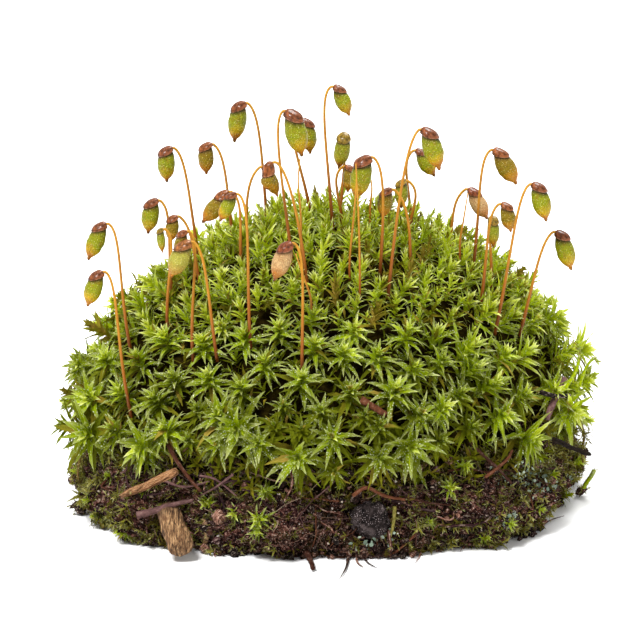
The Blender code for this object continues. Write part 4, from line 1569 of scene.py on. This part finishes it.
def make_crumbs(finish):
    dice = random.Random(11)
    big, small = [], []
    for count, largest, pale in CRUMB_KINDS:
        for _ in range(count):
            turn = front_turn(dice)
            height = BARE_HEIGHT * dice.random() ** 1.25
            size = largest * (0.3 + 0.7 * dice.random() ** 2)
            p = wall_point(turn, max(height, 0.3 * size), dice.uniform(-0.3, 0.6))
            number = crumb_print(dice, p, pale if size < FINE_CRUMB else 0.0)
            (big if size > FINE_CRUMB else small).append((p, size, number))
    for _ in range(FOOT_CRUMBS):
        size = 0.35 + 1.1 * dice.random() ** 2
        p = wall_point(front_turn(dice), dice.uniform(0.25, 0.6) * size, dice.uniform(-0.4, 1.3))
        (big if size > FINE_CRUMB else small).append((p, size, crumb_print(dice, p, 0.0)))
    for x, rise, size, number in KNOWN_CRUMBS:
        big.append((seen_at(x, rise, 0.3 * size)[0], size, number))
    big += [(p, size, dice.randrange(1, 8)) for p, size in LOOSE_CRUMBS]
    make_piece("soil_crumbs", lumps_shape(big, 2, 3), finish, ["soil_clod"])
    make_piece("soil_grains", lumps_shape(small, 1, 5), finish, ["soil_clod"], False)


class Root(NamedTuple):
    """A root, stem or fibre seen from the front: its points as x and rise, thickness, lift and prints."""

    seen: tuple
    thickness: float
    lift: float
    prints: range
    taper: float = 0.5


OVER_THE_STUB = ((-21.2, -2.2), (-19.8, -1.8), (-17.8, -1.1), (-16.2, -0.6), (-14.8, -0.3))
KNOWN_ROOTS = (
    Root(OVER_THE_STUB, 0.95, 2.0, PALE_PURPLE_ROOTS),
    Root(((-17.8, 6.3), (-16.8, 4.3), (-15.5, 2.4), (-14.1, 0.7)), 0.6, 1.6, RED_ROOTS, 0.6),
    Root(((-14.5, 2.4), (-12.7, 2.0), (-10.2, 0.0)), 0.32, 0.9, PURPLE_ROOTS, 0.6),
    Root(((-10.5, 2.7), (-12.4, 1.2), (-14.4, 0.0)), 0.3, 1.2, PURPLE_ROOTS, 0.6),
    Root(((-13.4, 3.9), (-12.8, 1.5), (-11.6, -1.6)), 0.26, 0.7, PURPLE_ROOTS),
    Root(((-18.8, 1.7), (-16.3, 1.0), (-13.4, 1.7)), 0.34, 0.8, PURPLE_ROOTS, 0.6),
    Root(((-22.9, 6.9), (-22.2, 4.6), (-22.6, 2.2)), 0.22, 1.1, PURPLE_ROOTS, 0.6),
    Root(((-14.3, -2.9), (-13.9, -4.5), (-14.1, -6.2)), 0.75, 0.5, TAN_ROOTS, 0.9),
    Root(((-2.2, -6.8), (-1.7, -7.9), (-1.3, -8.9)), 0.8, 0.3, RED_ROOTS, 0.7),
    Root(((3.3, 0.1), (4.9, 1.1), (7.0, 0.1), (9.4, -0.4)), 0.5, 1.1, RED_ROOTS, 0.7),
    Root(((4.0, 12.1), (5.4, 11.2), (6.8, 10.2)), 0.95, 2.6, RED_ROOTS, 0.8),
    Root(((8.3, -1.3), (8.2, -3.2), (7.8, -5.0)), 0.5, 0.6, GREEN_ROOTS, 0.6),
    Root(((2.9, -7.6), (2.6, -8.8), (1.8, -10.1)), 0.4, 0.15, DARK_ROOTS, 0.15),
    Root(((4.5, -7.2), (5.2, -8.2), (6.3, -8.8)), 0.36, 0.15, DARK_ROOTS, 0.15),
    Root(((3.8, -7.3), (4.0, -8.2), (4.6, -8.7)), 0.34, 0.15, DARK_ROOTS, 0.3),
    Root(((7.2, -6.1), (7.7, -7.0), (8.0, -7.8)), 0.34, 0.15, DARK_ROOTS, 0.2),
    Root(((11.6, -6.3), (11.5, -7.3), (10.9, -8.2)), 0.3, 0.15, DARK_ROOTS, 0.2),
    Root(((16.5, -5.1), (16.7, -6.1), (16.3, -7.0)), 0.3, 0.15, DARK_ROOTS, 0.2),
    Root(((-21.5, -3.0), (-21.8, -4.6), (-22.3, -6.2)), 0.36, 0.3, DARK_ROOTS, 0.15),
    Root(((-21.3, -3.4), (-21.1, -4.9), (-21.0, -6.0)), 0.3, 0.3, DARK_ROOTS, 0.15),
    Root(((16.8, 6.5), (18.3, 4.9), (19.9, 3.4), (21.6, 1.5)), 0.46, 1.4, RED_ROOTS, 0.7),
    Root(((18.5, 2.3), (19.9, 3.4), (21.1, 4.5), (21.6, 5.5)), 0.42, 1.5, RED_ROOTS, 0.7),
    Root(((26.8, 13.9), (26.2, 12.4), (25.5, 11.0), (24.9, 9.3)), 0.9, 2.4, PURPLE_ROOTS, 0.8),
    Root(((23.9, 12.6), (25.4, 12.1), (27.1, 12.0)), 0.6, 2.8, BLACK_ROOTS, 0.8),
    Root(((25.7, -4.3), (27.2, -3.4), (28.9, -2.9)), 0.28, 0.3, DARK_ROOTS, 0.2),
    Root(((9.5, -0.2), (12.2, -0.9), (14.9, -1.2)), 0.34, 0.7, RED_ROOTS),
    Root(((-9.5, 1.0), (-7.6, -0.2), (-5.9, -2.0)), 0.3, 0.8, PURPLE_ROOTS),
    Root(((-3.9, 3.4), (-3.7, 1.5), (-4.6, -0.5)), 0.3, 1.2, BROWN_ROOTS, 0.6),
)
KNOWN_ROOT_RINGS = 22
KNOWN_ROOT_SIDES = 9
WALL_ROOTS = 420
WALL_ROOT_RINGS = 13
WALL_ROOT_SIDES = 4
ROOT_WOBBLE = 0.25


def root_tube(shape, line, thickness, taper, number, sides):
    radii = [thickness / 2 * (1 - (1 - taper) * i / (len(line) - 1)) for i in range(len(line))]

    def rough(along, turn):
        spot = Vector((along * 9, math.cos(turn), math.sin(turn) + number * 3.7))
        return ROOT_WOBBLE * noise.noise(spot)

    shape.add(*tube(line, radii, sides, rough, strip=scrap_strip(number)))


def make_roots(finish):
    dice = random.Random(13)
    shape = Shape()
    for root in KNOWN_ROOTS:
        points = []
        for x, rise in root.seen:
            p = seen_at(x, rise, root.lift)[0]
            p.z = max(p.z, 0.6 * root.thickness + FLOOR_CLEARANCE)
            points.append(p)
        line, number = smooth_line(points, KNOWN_ROOT_RINGS), one_of(dice, root.prints)
        root_tube(shape, line, root.thickness, root.taper, number, KNOWN_ROOT_SIDES)
    for _ in range(WALL_ROOTS):
        turn = front_turn(dice)
        height = dice.uniform(0.8, BARE_HEIGHT)
        steep = dice.random() < 0.4
        ahead = dice.uniform(-1, 1) * (0.012 if steep else 0.055)
        climb = dice.uniform(0.4, 1.1) * dice.choice((-1, 1)) * (1.0 if steep else 0.35)
        points = []
        for _ in range(dice.randrange(5, 10)):
            points.append(wall_point(turn, min(max(height, 0.2), BARE_HEIGHT + 1), dice.uniform(0.0, 0.9)))
            ahead += dice.gauss(0, 0.012)
            climb += dice.gauss(0, 0.3)
            turn += ahead
            height += climb
        prints = dice.choice(WALL_ROOT_PRINTS)
        thickness = 0.08 + 0.36 * dice.random() ** 4
        line, number = smooth_line(points, WALL_ROOT_RINGS), one_of(dice, prints)
        root_tube(shape, line, thickness, 0.4, number, WALL_ROOT_SIDES)
    make_piece("roots", shape, finish, ["soil_clod"])


# Places with flakes of lichen, as x, rise, how far they spread and how many there are
LICHEN_PATCHES = (
    (23.9, 2.0, 1.9, 0.8, 70),
    (25.9, 0.5, 1.0, 0.6, 24),
    (21.8, -3.2, 0.8, 0.5, 20),
    (5.1, -5.5, 0.8, 0.4, 16),
    (7.2, -4.6, 0.6, 0.6, 10),
    (28.8, 2.4, 1.2, 1.0, 14),
)
FLAKE_SIDES = 7


def make_lichen(finish):
    """Little curled flakes with ragged edges."""
    dice = random.Random(17)
    shape = Shape()
    for x, rise, wide, high, count in LICHEN_PATCHES:
        for _ in range(count):
            x_here, rise_here = x + dice.gauss(0, wide), rise + dice.gauss(0, high)
            middle, facing = seen_at(x_here, rise_here, dice.uniform(0.35, 0.9))
            facing = (facing + scatter(dice, 0.5)).normalized()
            side = facing.cross(UP).normalized()
            across = facing.cross(side)
            size = dice.uniform(0.12, 0.4)
            low_edge, high_edge = scrap_strip(one_of(dice, LICHENS))
            points = [middle - facing * 0.12 * size]
            places = [(0.5, (low_edge + high_edge) / 2)]
            for k in range(FLAKE_SIDES):
                turn = 2 * math.pi * k / FLAKE_SIDES
                reach = size * dice.uniform(0.55, 1.0)
                out = math.cos(turn) * side + math.sin(turn) * across
                points.append(middle + reach * out + facing * 0.25 * size)
                v = low_edge + (high_edge - low_edge) * (0.5 + 0.45 * math.sin(turn))
                places.append((0.5 + 0.45 * math.cos(turn), v))
            faces = [(0, 1 + k, 1 + (k + 1) % FLAKE_SIDES) for k in range(FLAKE_SIDES)]
            shape.add(points, faces, [places[i] for face in faces for i in face])
    make_piece("lichen_flakes", shape, finish, ["soil_clod"])


MOSS_TUFTS = 5200
TUFT_LEAVES = 5
TUFT_SKEW = Vector((0.3, 0.2, 0.9))
TUFT_RINGS = 3
RIGHT_START = 8
RIGHT_WIDTH = 14
SOIL_STAR_LIFT = 1.4
SOIL_STAR_RINGS = 8
# Small stars on the soil, as x, rise, reach, tone and whether their middle is red
SOIL_STARS = (
    (-13.7, -0.9, 1.9, 0.9, False),
    (-10.5, -2.0, 1.6, 0.8, True),
    (-7.8, -2.6, 2.1, 0.72, False),
    (-7.8, -4.1, 1.7, 0.6, False),
    (-7.0, 0.7, 1.8, 0.4, False),
    (16.7, 3.8, 1.5, 0.7, True),
    (14.8, 1.1, 2.0, 0.78, True),
    (21.7, -3.4, 1.7, 0.45, False),
    (19.0, -5.0, 1.2, 0.75, False),
    (-25.1, 2.4, 1.7, 0.5, False),
    (-21.2, 0.5, 1.4, 0.4, False),
    (-26.8, -2.7, 1.6, 0.6, False),
    (-23.9, -4.4, 1.5, 0.62, False),
    (28.8, -0.2, 1.6, 0.62, True),
    (27.0, 2.4, 1.5, 0.66, True),
    (12.3, -3.0, 1.3, 0.5, False),
    (30.0, 3.7, 1.9, 0.72, True),
    (25.4, -1.7, 1.3, 0.5, False),
    (-29.3, 2.4, 1.8, 0.66, False),
    (-27.8, -0.7, 1.4, 0.6, False),
)


def right_share(x):
    """0 in the middle of the front and left of it, and 1 near its right edge."""
    return clipped((x - RIGHT_START) / RIGHT_WIDTH)


def bit_density(turn, height):
    """How thickly little leaves cover the soil: most at the sides and at the top of the wall."""
    p = wall_point(turn, height)
    patch = 0.85 + 1.1 * noise.noise(p / 3.5)
    front = max(-math.sin(turn), 0.0)
    middle = math.exp(-(((p.x + 1.0) / 12.0) ** 2)) * front
    right = 0.35 * right_share(p.x)
    return patch * (1 - 0.85 * middle) + right + 0.5 * (height / BARE_HEIGHT) ** 2


def make_soil_moss(bits_finish, stars_finish):
    """Olive tufts of moss that cling to the soil, and the small stars that grow on it."""
    dice = random.Random(19)
    leaves = []
    for _ in range(MOSS_TUFTS):
        turn, height = front_turn(dice), dice.uniform(0.2, BARE_HEIGHT)
        if dice.random() > bit_density(turn, height):
            continue
        lift = dice.uniform(-0.1, 0.5) + dice.uniform(0, 0.9) * (height < 1.5)
        base = wall_point(turn, height, lift)
        axis = (wall_facing(turn) + 0.3 * UP + scatter(dice, 0.5)).normalized()
        beside = axis.cross(TUFT_SKEW).normalized()
        size = dice.uniform(0.35, 1.0)
        edge = abs(math.cos(turn)) ** 3
        right = right_share(base.x)
        chance = dice.random()
        tone = dice.uniform(0.15, 0.55)
        if chance < 0.2 + 0.2 * edge + 0.12 * right:
            tone = dice.uniform(0.5, 1.0)
        brown = chance > 0.54 + 0.2 * edge + 0.16 * right
        for k in range(TUFT_LEAVES):
            out = Quaternion(axis, GOLDEN_TURN * k + turn) @ beside
            length = size * dice.uniform(0.6, 1.3)
            lean, curl = dice.uniform(0.2, 1.3), dice.uniform(-0.2, 0.8)
            number = dice.randrange(BROWN_PRINTS - 2) if brown else print_of(tone + dice.gauss(0, 0.08))
            foot = base - axis * 0.3 * dice.random()
            leaves.append(Leaf(foot, axis, out, length, length * 0.24, lean, curl, 0.0, 0.0, 0.1, number))
    make_leaves("soil_moss", leaves, TUFT_RINGS, bits_finish, "soil_clod")
    leaves = []
    for x, rise, reach, tone, red in SOIL_STARS:
        spot, facing = seen_at(x, rise, SOIL_STAR_LIFT)
        axis = (facing + 0.35 * UP + scatter(dice, 0.1)).normalized()
        add_shoot(leaves, dice, spot, axis, reach, "open", tone, red)
    make_leaves("soil_stars", leaves, SOIL_STAR_RINGS, stars_finish, "soil_clod")


# Where olive and ochre moss bulges from the edges of the soil: turn, height, their spreads, and how much
EDGE_MOSS = (
    (math.radians(-14), 9.0, 0.16, 1.7, 60),
    (math.radians(-20), 5.0, 0.2, 2.2, 50),
    (math.radians(-44), 2.5, 0.24, 1.6, 34),
    (math.radians(190), 8.0, 0.2, 2.2, 34),
    (math.radians(204), 3.5, 0.22, 2.0, 50),
    (math.radians(226), 2.0, 0.2, 1.4, 34),
)
# Old shoots that hang down there, each by the points it passes through
OLD_SHOOTS = (
    ((31.0, -7.0, 11.4), (31.6, -7.6, 9.4), (31.3, -8.0, 7.6), (31.5, -8.2, 6.2)),
    ((-29.3, -9.5, 9.0), (-29.9, -9.5, 5.2), (-29.3, -9.8, 3.6), (-27.6, -10.2, 2.6)),
    ((-27.6, -13.0, 3.2), (-27.3, -14.6, 1.5), (-26.7, -16.2, 0.5)),
)
OLD_SHOOT_RADIUS = 0.17
OLD_SHOOT_STEPS = 22
OLD_STEM_PRINT = BROWN_PRINTS - 2


def make_edge_moss(finish):
    dice = random.Random(29)
    leaves = []
    stems = Shape()
    strip = strip_of(OLD_STEM_PRINT, LEAF_PRINTS, LEAF_MARGIN)
    for points in OLD_SHOOTS:
        line = smooth_line(points, OLD_SHOOT_STEPS)
        stems.add(*tube(line, [OLD_SHOOT_RADIUS] * OLD_SHOOT_STEPS, STALK_SIDES, strip=strip))
        for here, there in zip(line[4:], line[5:]):
            axis = ((there - here).normalized() + scatter(dice, 0.6)).normalized()
            brown = dice.random() < 0.4
            reach, tone = dice.uniform(0.5, 1.1), dice.uniform(0.5, 1.0)
            add_shoot(leaves, dice, here, axis, reach, "scrub", tone, False, brown)
    make_piece("old_shoots", stems, finish, ["soil_clod"])
    for middle, level, wide, high, count in EDGE_MOSS:
        for _ in range(count):
            turn, height = dice.gauss(middle, wide), max(dice.gauss(level, high), 0.7)
            spot = wall_point(turn, height, dice.uniform(0.5, 1.7))
            axis = (wall_facing(turn) + dice.uniform(-0.7, 0.3) * UP + scatter(dice, 0.35)).normalized()
            tone = dice.uniform(0.35, 0.95)
            brown = dice.random() < 0.2
            add_shoot(leaves, dice, spot, axis, dice.uniform(0.8, 1.6), "scrub", tone, False, brown)
    for spot, size in LOOSE_CRUMBS:
        for _ in range(3):
            axis = (Vector((-0.5, -0.5, 0.1)) + scatter(dice, 0.6)).normalized()
            add_shoot(leaves, dice, spot + axis * size * 0.7, axis, 0.9, "scrub", dice.uniform(0.4, 0.8))
    make_leaves("edge_moss", leaves, SCRUB_RINGS, finish, "soil_clod")


# The stone, the bark stub and the twigs

STONE_SIZE = Vector((4.8, 4.2, 4.3))
STONE_DETAIL = 5
STONE_BUMPS = ((0.22, 1.4), (0.12, 4), (0.06, 11))
BARK_STUB = ((-18.9, -22.4, 5.0), (-18.0, -25.4, 3.4), (-16.9, -28.8, 1.7))
STUB_RADII = (1.3, 1.4, 1.5, 1.56, 1.54, 1.46)
TWIG_LEFT = ((-24.6, -18.6, 5.2), (-21.4, -22.6, 7.9), (-17.6, -25.9, 10.8))
TWIG_LEFT_RADII = (0.30, 0.42, 0.5, 0.46, 0.48, 0.5, 0.44)
TWIG_RIGHT = ((27.6, -19.0, 12.6), (30.2, -16.2, 10.5), (32.3, -14.2, 9.1))
TWIG_RIGHT_RADII = (0.34, 0.28, 0.33, 0.25, 0.28, 0.2)
THINNEST_END = 0.04
# Deep, middle and light tones of the twigs
TAN_TONES = ((0.05, 0.018, 0.008), (0.33, 0.15, 0.06), (0.60, 0.37, 0.20))
DARK_TONES = ((0.003, 0.002, 0.001), (0.010, 0.006, 0.004), (0.04, 0.024, 0.014))


def make_stone():
    shape = Shape()
    points, shape.faces = ball(STONE_DETAIL)
    for p in points:
        bumps = sum(height * noise.noise(p * fineness) for height, fineness in STONE_BUMPS)
        shape.points.append(STONE_AT + (STONE_SIZE * 0.5 * (1 + bumps)) * p)
    finish = Finish("speckled stone")
    place = finish.place()
    broad = finish.noise(place, 0.9, 4.0, 0.6)
    stops = ((0.36, (0.004, 0.003, 0.003)), (0.5, (0.022, 0.016, 0.015)), (0.7, (0.11, 0.085, 0.082)))
    colour = finish.ramp(broad, stops)
    speckled = finish.noise(place, 0.8, 2.0).between(0.38, 0.56)
    specks = finish.cells(place, 5.0).between(0.36, 0.14) * speckled
    colour = finish.mix(specks * 0.8, colour, (0.70, 0.58, 0.57))
    relief = finish.noise(place, 3.5, 5.0, 0.7) + specks
    material = finish.plain(colour, 0.8, 0.05, finish.bump(relief, 1.0, 0.4))
    make_piece("stone_fine", shape, material, ["stone"])


def rounded(line, radii, count, blunt):
    """A line with more points near its ends, and radii that close roundly over its two blunt ends.

    Blunt is each end's share of the length.
    """
    shares = [0.5 - 0.5 * math.cos(math.pi * i / (count - 1)) for i in range(count)]
    closed = []
    for share, radius in zip(shares, np.interp(shares, np.linspace(0, 1, len(radii)), radii)):
        short = min(share / blunt[0], (1 - share) / blunt[1], 1.0)
        closed.append(max(float(radius) * math.sqrt(max(1 - (1 - short) ** 2, 0.0)), THINNEST_END))
    return resample(line, shares), closed, shares


def bark_finish():
    """The stub's bark: short fibres down its length, dark pits between them, and a darker upper end."""
    finish = Finish("bark of the stub")
    along, _ = finish.on_map()
    place = finish.place()
    fibres = finish.noise(finish.stretched(place, (2.6, 0.26, 0.5)), 1.6, 5.0, 0.7)
    patches = finish.noise(place, 0.8, 3.0)
    pits = finish.cells(finish.stretched(place, (2.8, 0.7, 1.1)), 1.5).between(0.3, 0.14)
    stops = ((0.38, (0.020, 0.009, 0.004)), (0.49, (0.15, 0.072, 0.028)), (0.63, (0.50, 0.30, 0.14)))
    colour = finish.ramp(fibres, stops)
    colour = finish.mix(patches.between(0.52, 0.66) * 0.6, colour, (0.13, 0.055, 0.02))
    colour = finish.mix(pits * 0.7, colour, (0.016, 0.008, 0.004))
    colour = finish.mix(along.between(0.4, 0.1) * 0.7, colour, (0.05, 0.024, 0.012))
    return finish.plain(colour, 0.75, 0.25, finish.bump(fibres - pits, 1.0, 0.4))


def wood_finish(name, tones, stripes, knots):
    """Wood or bark: fibres along it, dark splits between them and darker patches."""
    finish = Finish(name)
    deep, middle, light = tones
    along, around = finish.on_map()
    turn = around * 2 * math.pi
    round_x, round_y = turn.math("COSINE"), turn.math("SINE")
    fibres = finish.noise(finish.join(along * stripes, round_x * 5.0, round_y * 5.0), 1.5, 5.0, 0.7)
    patches = finish.noise(finish.join(along * 5.0, round_x, round_y), 1.3, 3.0)
    pits = finish.cells(finish.join(along * stripes * 1.6, round_x * 5.0, round_y * 5.0), 1.6)
    splits = pits.between(0.26, 0.12)
    colour = finish.ramp(fibres, ((0.38, deep), (0.49, middle), (0.64, light)))
    colour = finish.mix(splits * knots, colour, (0.014, 0.007, 0.004))
    colour = finish.mix(patches.between(0.5, 0.64) * 0.75, colour, deep)
    return finish.plain(colour, 0.8, 0.05, finish.bump(fibres - splits, 0.8, 0.3))


def make_wood():
    bark = bark_finish()
    tan = wood_finish("tan twig bark", TAN_TONES, 7.0, 0.9)
    dark = wood_finish("dark twig bark", DARK_TONES, 6.0, 0.4)
    pieces = (
        ("bark_stub", BARK_STUB, STUB_RADII, 64, 44, (0.04, 0.1), bark, "bark", 0.1),
        ("twig_left", TWIG_LEFT, TWIG_LEFT_RADII, 60, 20, (0.03, 0.03), tan, "tan_twig", 0.25),
        ("twig_right", TWIG_RIGHT, TWIG_RIGHT_RADII, 50, 18, (0.03, 0.04), dark, "dark_twig", 0.4),
    )
    for name, points, radii, rings, sides, blunt, material, slot, knobs in pieces:
        line, closed, alongs = rounded(smooth_line(points, 40), radii, rings, blunt)

        def rough(along, turn):
            spot = Vector((along * 5, 1.6 * math.cos(turn), 1.6 * math.sin(turn)))
            ridge = noise.noise(Vector((along * 3, 5 * math.cos(turn), 5 * math.sin(turn))))
            return knobs * noise.noise(spot) + 0.07 * ridge

        shape = Shape()
        shape.add(*tube(line, closed, sides, rough, alongs))
        make_piece(f"{name}_fine", shape, material, [name])


# The two curled shoots at the right, and a small one beside the clod


class Sprig(NamedTuple):
    """A thin shoot: the points it passes through, its thickness, how much its head grows, and its node."""

    points: tuple
    thickness: float
    head: float
    node: str | None = None
    old_leaves: float = 0.2


LONG_CURL = ((29.2, -13.6, 17.4), (30.3, -13.8, 19.4), (30.8, -13.6, 21.2), (30.7, -13.4, 22.9))
SHORT_CURL = ((31.0, -9.4, 16.4), (31.6, -9.6, 18.4), (32.5, -9.7, 19.8), (33.1, -9.7, 19.6))
BESIDE_CLOD = ((31.6, -2.6, 0.8), (32.0, -2.6, 1.7), (32.6, -2.6, 2.6), (33.0, -2.6, 3.4))
SPRIGS = (
    Sprig(LONG_CURL, 0.42, 1.5, "shoot_right_1"),
    Sprig(SHORT_CURL, 0.36, 0.5, "shoot_right_2"),
    Sprig(BESIDE_CLOD, 0.55, 0.0, None, 0.4),
)
SPRIG_STEPS = 24
SPRIG_SIDES = 8
SPRIG_LEAVES = 60
SPRIG_LEAF_WIDTH = 0.3
SPRIG_LEAF_RINGS = 6
SPRIG_SKEW = Vector((0.3, 0.9, 0.2))
OLD_SPRIG_PRINTS = range(5, BROWN_PRINTS)
STEM_PRINT = BROWN_PRINTS + 26


def make_sprigs(finish):
    dice = random.Random(23)
    for number, sprig in enumerate(SPRIGS, 1):
        line = smooth_line(sprig.points, SPRIG_STEPS)
        strip = strip_of(STEM_PRINT, LEAF_PRINTS, LEAF_MARGIN)
        shape = Shape()
        shape.add(*tube(line, [sprig.thickness / 2] * SPRIG_STEPS, SPRIG_SIDES, strip=strip))
        leaves = []
        for k in range(SPRIG_LEAVES):
            along = (k + 0.5) / SPRIG_LEAVES
            i = min(int(along * (SPRIG_STEPS - 1)), SPRIG_STEPS - 2)
            axis = (line[i + 1] - line[i]).normalized()
            beside = axis.cross(SPRIG_SKEW).normalized()
            out = Quaternion(axis, GOLDEN_TURN * k) @ beside
            length = dice.uniform(0.4, 0.8) + sprig.head * max(along - 0.45, 0.0)
            leaf_print = print_of(dice.uniform(0.5, 0.95))
            if dice.random() < sprig.old_leaves:
                leaf_print = one_of(dice, OLD_SPRIG_PRINTS)
            lean, curl = dice.uniform(0.4, 0.9), dice.uniform(-0.3, 0.5)
            width = length * SPRIG_LEAF_WIDTH
            leaves.append(Leaf(line[i], axis, out, length, width, lean, curl, 0.0, 0.0, 0.0, leaf_print))
        sheet = leaf_sheet(leaves, SPRIG_LEAF_RINGS)
        shape.add(sheet.points.tolist(), sheet.faces.tolist(), sheet.map.tolist())
        make_piece(f"sprig_{number}", shape, finish, [sprig.node] if sprig.node else ())


# The stage, in metres

FLOOR_REACH = 6.0
LAMP_AIM = Vector((0, 0, 0.02))
# Each lamp's name, size, power and place
LAMPS = (
    ("key", 0.3, 16.0, (-0.35, -0.45, 0.9)),
    ("fill", 0.6, 2.0, (0.6, -0.5, 0.4)),
    ("back", 0.5, 13.0, (0.2, 0.6, 0.8)),
)


def look_along(obj, direction):
    """Turns a lamp or the camera to look in a direction."""
    obj.rotation_mode = "QUATERNION"
    obj.rotation_quaternion = direction.to_track_quat("-Z", "Y")


def make_stage():
    mesh = bpy.data.meshes.new("floor")
    corners = [(x * FLOOR_REACH, y * FLOOR_REACH, 0) for x, y in ((-1, -1), (1, -1), (1, 1), (-1, 1))]
    mesh.from_pydata(corners, [], [(0, 1, 2, 3)])
    floor = add_object("floor", mesh)
    finish = Finish("pale floor")
    paint = finish.surface({"Base Color": (0.93, 0.93, 0.93, 1.0), "Roughness": 0.9})
    mesh.materials.append(finish.done(paint))

    world = bpy.data.worlds.new("studio")
    bpy.context.scene.world = world
    world.use_nodes = True
    background = world.node_tree.nodes["Background"]
    background.inputs["Color"].default_value = (1.0, 1.0, 1.0, 1.0)
    background.inputs["Strength"].default_value = 0.5

    for name, size, power, place in LAMPS:
        light = bpy.data.lights.new(name, "AREA")
        light.size = size
        light.energy = power
        lamp = add_object(name, light)
        lamp.location = place
        look_along(lamp, LAMP_AIM - Vector(place))
    bpy.context.scene.view_settings.view_transform = "Standard"


# The camera, in millimetres

CAMERA_AWAY = 1300.0
VIEW_WIDTH = 78.0
AIM_ACROSS = -0.49
AIM_HEIGHT = 21.8
SENSOR = 36.0


def make_camera():
    data = bpy.data.cameras.new("camera")
    data.sensor_width = SENSOR
    data.lens = SENSOR * CAMERA_AWAY / VIEW_WIDTH
    camera = add_object("camera", data)
    aim = Vector((AIM_ACROSS, 0.0, AIM_HEIGHT))
    camera.location = (aim - VIEW_AWAY * CAMERA_AWAY) * MM
    look_along(camera, VIEW_AWAY)
    bpy.context.scene.camera = camera


make_camera()
make_stage()
leaf = leaf_finish("moss leaf", MOSS_TONES, (0.42, 0.55, 0.004), (0.45, 0.53, 0.006))
soil_leaf = leaf_finish("moss on the soil", SOIL_MOSS_TONES, (0.20, 0.19, 0.01), (0.28, 0.25, 0.02))
scrap = scrap_finish()
make_moss(leaf)
make_mound()
make_sporophytes()
make_soil()
make_crumbs(scrap)
make_roots(scrap)
make_lichen(scrap)
make_soil_moss(soil_leaf, leaf)
make_edge_moss(soil_leaf)
make_stone()
make_wood()
make_sprigs(leaf)
